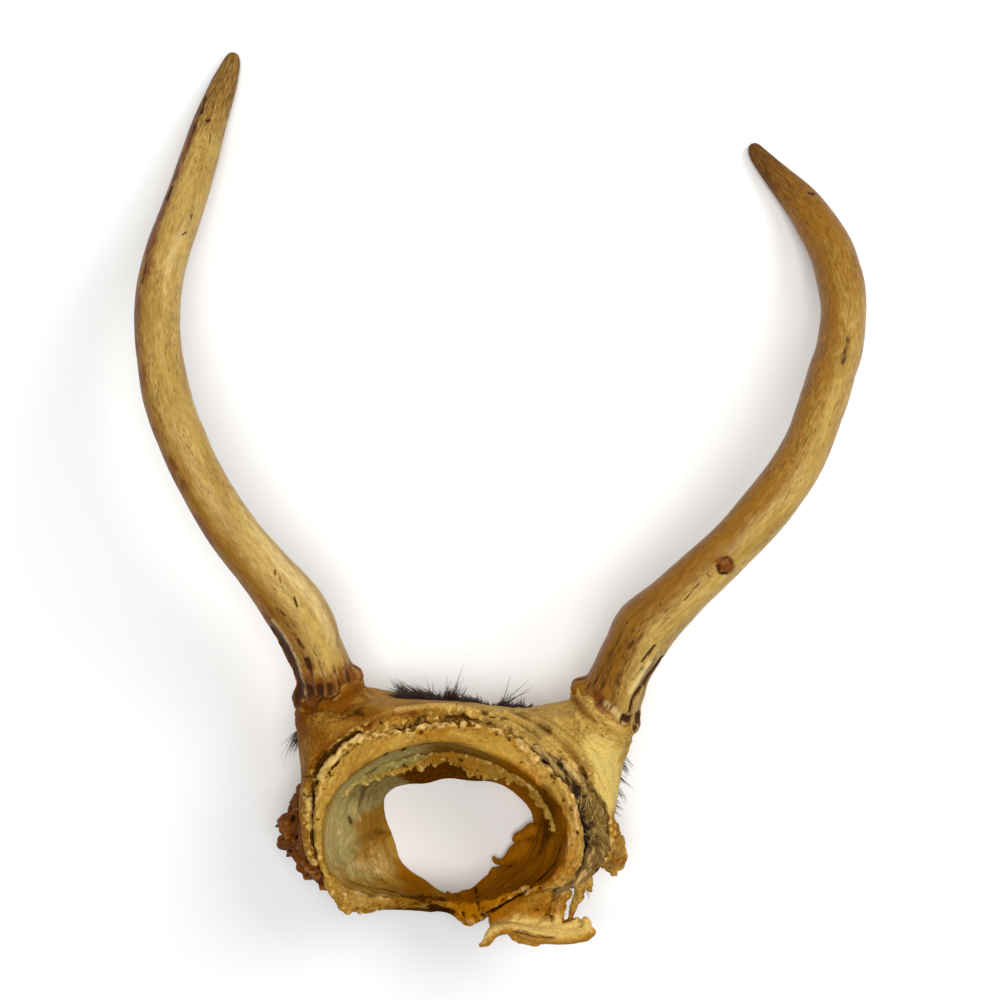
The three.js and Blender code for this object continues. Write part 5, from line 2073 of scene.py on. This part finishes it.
@dataclass
class Strands:
    """Joined three-sided strands that taper to a point, grown in wisps."""

    name: str
    finish: Finish
    tufts: tuple[Tuft, ...]
    nodes: tuple[str, ...] = ()
    seed: int = 61
    thickness: float = 0.12
    rings: int = 6
    floor: float = 0.4

    def roots(self, tuft: Tuft, rng: np.random.Generator) -> Array:
        """Root of each wisp, along a line in space and scattered a little.

        Args:
            tuft: The tuft.
            rng: Source of random numbers.

        Returns:
            One place for each wisp.
        """
        share = rng.uniform(0.0, 1.0, (tuft.wisps, 1))
        line = np.array(tuft.start) * (1 - share) + np.array(tuft.end) * share
        return line + rng.normal(0.0, tuft.jitter, (tuft.wisps, 3))

    def grow(self, tuft: Tuft, rng: np.random.Generator) -> Array:
        """Vertices of one tuft's strands, which draw together towards their wisp's tip.

        Args:
            tuft: The tuft.
            rng: Source of random numbers.

        Returns:
            Three vertices for each ring of each strand.
        """
        lean = np.array(tuft.lean) / np.linalg.norm(tuft.lean)
        aim = lean + rng.normal(0.0, tuft.spread, (tuft.wisps, 3))
        aim /= np.linalg.norm(aim, axis=1, keepdims=True)
        bend = np.array(tuft.bow) + rng.normal(0.0, tuft.curl, (tuft.wisps, 3))
        reach = tuft.length[0] + (tuft.length[1] - tuft.length[0]) * rng.uniform(0, 1, tuft.wisps) ** 2
        root = np.repeat(self.roots(tuft, rng), tuft.strands, axis=0)
        aim = np.repeat(aim, tuft.strands, axis=0) + rng.normal(0.0, 0.09, (tuft.count, 3))
        bend = np.repeat(bend, tuft.strands, axis=0) + rng.normal(0.0, 0.12, (tuft.count, 3))
        length = np.repeat(reach, tuft.strands) * rng.uniform(0.45, 1.0, tuft.count)
        apart = rng.normal(0.0, 0.35, (tuft.count, 3))
        along = np.linspace(0.0, 1.0, self.rings)
        path = root[:, None] + (aim * length[:, None])[:, None] * along[None, :, None]
        path = path + (bend * length[:, None])[:, None] * (along**2)[None, :, None] * 0.5
        path = path + apart[:, None] * (1.0 - 0.6 * along)[None, :, None]
        path[..., 2] = np.maximum(path[..., 2], self.floor)
        cross = np.cross(aim, rng.normal(0.0, 1.0, (tuft.count, 3)))
        cross /= np.linalg.norm(cross, axis=1, keepdims=True)
        other = np.cross(aim, cross)
        girth = self.thickness * (1.0 - along**1.6 * 0.85)
        sides = []
        for k in range(3):
            turn = 2 * math.pi * k / 3
            spoke = cross * math.cos(turn) + other * math.sin(turn)
            sides.append(path + spoke[:, None] * girth[None, :, None])
        return np.stack(sides, axis=2).reshape(-1, 3)

    def build(self) -> bpy.types.Object:
        """Grow every tuft and join the strands in one mesh.

        Returns:
            The new object.
        """
        rng = np.random.default_rng(self.seed)
        points = np.vstack([self.grow(tuft, rng) for tuft in self.tufts])
        count = sum(tuft.count for tuft in self.tufts)
        skin = Skin(points, self.quads(count))
        tint = np.repeat(rng.uniform(0.0, 1.0, count), self.rings * 3)
        skin.stain(WASH, tint**2 * 0.8)
        return skin.build(self.name, self.finish, *self.nodes)

    def quads(self, count: int) -> Array:
        """Faces along every strand.

        Args:
            count: Number of strands.

        Returns:
            Four vertex numbers for each face.
        """
        strand = np.arange(count)[:, None, None] * self.rings * 3
        ring = np.arange(self.rings - 1)[None, :, None] * 3
        side = np.arange(3)[None, None, :]
        here = strand + ring + side
        after = strand + ring + (side + 1) % 3
        return np.stack([here, after, after + 3, here + 3], axis=-1).reshape(-1, 4)


class ScalpStrands(Strands):
    """Strands rooted on the skin, between two places given as (bearing, height)."""

    def roots(self, tuft: Tuft, rng: np.random.Generator) -> Array:
        """Root of each wisp on the outer face of the skin.

        Args:
            tuft: The tuft.
            rng: Source of random numbers.

        Returns:
            One place for each wisp.
        """
        share = rng.uniform(0.0, 1.0, tuft.wisps)
        bearing = tuft.start[0] + (tuft.end[0] - tuft.start[0]) * share
        bearing = bearing + rng.normal(0.0, tuft.jitter, tuft.wisps)
        height = rng.uniform(tuft.start[1], tuft.end[1], tuft.wisps)
        return FORM.place(bearing, FORM.scalp_outside(bearing, height) - 0.1, height)


HAIRS = (
    ScalpStrands(
        "forehead_tuft", HAIR,
        (
            # long wisps that sweep to the left
            Tuft((106, 14), (90, 30), 80, 12, (5, 10.5), (-1, 0.5, 0.1), (0, -0.1, 0), 1.2, 0.15),
            Tuft((111, 18), (96, 31), 110, 11, (2.5, 6), (-0.9, 0.7, 0.1), (-0.2, -0.2, 0), 1, 0.22),
            # fan over the middle
            Tuft((97, 10), (86, 28), 34, 9, (3, 6), (0.15, 0.9, 0.1), (0.2, 0, 0), 1.2, 0.35),
            Tuft((93, 8), (86, 28), 8, 4, (7, 10), (0.35, 0.9, 0.1), (0.1, 0, 0), 1.2, 0.14),
            Tuft((94, 8), (84, 28), 16, 8, (4, 7), (0.7, 0.7, 0.1), (0, -0.2, 0), 1.2, 0.15),
            # low fuzz all along
            Tuft((108, 14), (54, 30), 190, 9, (1.2, 2.8), (-0.2, 0.7, 0.1), (0, 0, 0), 1.5, 0.5),
            # wisps that lean left from the middle gap
            Tuft((82, 14), (71, 30), 60, 11, (2, 5), (-0.7, 0.6, 0.1), (-0.2, 0, 0), 0.9, 0.2),
            Tuft((75, 8), (68, 28), 5, 2, (4, 6.5), (-0.5, 0.9, 0.1), (-0.1, 0, 0), 0.9, 0.1),
            # right clump
            Tuft((66, 14), (54, 30), 90, 12, (1.5, 3.6), (0.5, 0.6, 0.1), (0.2, -0.2, 0), 1, 0.35),
            Tuft((68, 8), (62, 28), 12, 6, (3.5, 6), (0.75, 0.75, 0.1), (0, 0, 0), 0.8, 0.12),
            Tuft((66, 20), (64, 28), 3, 4, (9.5, 11.5), (0.6, 0.8, 0.1), (0, 0.2, 0), 0.4, 0.07),
            Tuft((64, 18), (56, 28), 9, 5, (3.5, 5.5), (0.15, 0.9, 0.1), (0.3, 0, 0), 0.8, 0.3),
            Tuft((58, 20), (56, 28), 2, 4, (4.5, 5.5), (0.25, 1, 0.1), (0, 0, 0), 0.3, 0.08),
            # short tuft beside the right burr
            Tuft((50, 14), (47, 28), 12, 8, (2, 3.8), (0.85, 0.6, 0.1), (0, -0.2, 0), 0.7, 0.12),
        ),
        ("forehead_hair",), seed=61,
    ),
    ScalpStrands(
        "left_flank_hair", HAIR,
        (
            Tuft((146, 20), (150, 30), 9, 5, (5, 10), (-0.8, -0.35, 0), (0.5, -1.1, 0), 0.5, 0.12),
            Tuft((148, 20), (151, 30), 4, 4, (3, 5), (-0.9, -0.4, 0), (0.2, -0.3, 0), 0.5, 0.15),
        ),
        ("flank_hair_left",), seed=62,
    ),
    ScalpStrands(
        "right_flank_hair", HAIR,
        (
            Tuft((22, 18), (15, 30), 9, 3, (3.5, 6.5), (0.75, -0.6, 0), (0, -0.5, 0), 0.8, 0.12),
            Tuft((15, 18), (3, 30), 16, 2, (2.5, 4.5), (0.75, -0.6, 0), (0, -0.1, 0), 0.8, 0.1),
            Tuft((4, 18), (0, 30), 5, 7, (2.5, 4), (0.6, -0.8, 0), (0.1, -0.3, 0), 0.8, 0.15),
        ),
        ("flank_hair_right",), seed=63,
    ),
    Strands(
        "flank_fur", HAIR,
        (
            Tuft((19.5, -81, 47), (24.4, -94, 45.6), 90, 8, (1.4, 4.2), (-0.1, -0.8, 0.3),
                 (0, 0, 0), 0.9, 0.5),
            Tuft((22.8, -90, 45.6), (24, -101, 44), 110, 8, (1.4, 4.4), (0.2, -0.8, 0.3),
                 (0, 0, 0), 1, 0.6),
        ),
        seed=64, thickness=0.07,
    ),
    Strands(
        "torn_fibres", FIBRE,
        (
            Tuft((20, -80, 47), (26, -97, 46), 90, 7, (1.5, 4.5), (0.1, -0.9, 0.2), (0, 0, 0), 1.1, 0.5),
            Tuft((24.6, -85, 47), (27, -100, 45.4), 130, 8, (2, 5.5), (0.2, -0.9, 0.2),
                 (0, 0, 0), 1.1, 0.5),
            Tuft((28, -94, 32), (30.6, -106, 27), 30, 5, (1.6, 3.6), (0.2, -0.9, 0.2),
                 (0, 0, 0), 0.8, 0.4),
            Tuft((20, -104, 41), (22, -112, 38), 12, 5, (1, 3), (0.1, -0.9, 0.1),
                 (0, 0, 0), 0.6, 0.3),
        ),
        seed=65, thickness=0.08,
    ),
)


# ------------------------ stage


@dataclass(frozen=True)
class Stage:
    """Pale floor, soft light and the camera overhead."""

    lens: float = 74.96
    floor_half: float = 3.0
    floor_color: tuple[float, float, float, float] = (0.93, 0.93, 0.925, 1.0)
    sky_strength: float = 0.3
    lamp_aim: tuple[float, float, float] = (0.0, -0.02, 0.02)

    def build(self) -> None:
        """Set up everything that isn't the object."""
        self.floor()
        self.camera()
        self.lamp("key", (0.50, 0.28, 0.75), 0.45, 3.6)
        self.lamp("top", (0.02, -0.06, 1.30), 0.55, 10.2)
        self.lamp("fill", (-0.55, 0.30, 0.60), 0.60, 0.5)
        self.sky()

    def floor(self) -> None:
        """Large pale sheet under the object."""
        mesh = bpy.data.meshes.new("floor")
        half = self.floor_half
        corners = [(-half, -half, 0), (half, -half, 0), (half, half, 0), (-half, half, 0)]
        mesh.from_pydata(corners, [], [(0, 1, 2, 3)])
        floor = bpy.data.objects.new("floor", mesh)
        bpy.context.scene.collection.objects.link(floor)
        material = bpy.data.materials.new("floor_paper")
        material.use_nodes = True
        shader = material.node_tree.nodes["Principled BSDF"]
        shader.inputs["Base Color"].default_value = self.floor_color
        shader.inputs["Roughness"].default_value = 0.9
        mesh.materials.append(material)

    def camera(self) -> None:
        """Camera straight overhead with +Y up in the picture."""
        data = bpy.data.cameras.new("camera")
        data.lens = self.lens
        data.sensor_width = 36.0
        data.clip_start = 0.01
        camera = bpy.data.objects.new("camera", data)
        camera.location = Vector(Plan.EYE) * MM
        bpy.context.scene.collection.objects.link(camera)
        bpy.context.scene.camera = camera

    def lamp(self, name: str, place: tuple[float, float, float], size: float, power: float) -> None:
        """Square soft lamp aimed at the object.

        Args:
            name: Name of the lamp.
            place: Where it hangs, in metres.
            size: Width of its face, in metres.
            power: Watts.
        """
        data = bpy.data.lights.new(name, "AREA")
        data.shape = "SQUARE"
        data.size = size
        data.energy = power
        lamp = bpy.data.objects.new(name, data)
        lamp.location = place
        aim = Vector(self.lamp_aim) - Vector(place)
        lamp.rotation_euler = aim.to_track_quat("-Z", "Y").to_euler()
        bpy.context.scene.collection.objects.link(lamp)

    def sky(self) -> None:
        """Even pale light from all sides."""
        world = bpy.data.worlds.new("studio")
        world.use_nodes = True
        light = world.node_tree.nodes["Background"].inputs
        light["Color"].default_value = (1, 1, 1, 1)
        light["Strength"].default_value = self.sky_strength
        bpy.context.scene.world = world
        bpy.context.scene.view_settings.view_transform = "Standard"


def main() -> None:
    """Build every piece, then the stage."""
    logging.basicConfig(level=logging.INFO, format="%(message)s")
    for antler in (LEFT_ANTLER, RIGHT_ANTLER):
        antler.build()
    SkullRing().build()
    TemporalBone().build()
    ScalpHide().build()
    JawMuscle().build()
    BrainLining().build()
    for lump in LUMPS:
        lump.build()
    for strands in HAIRS:
        strands.build()
    Stage().build()


if __name__ == "__main__":
    main()
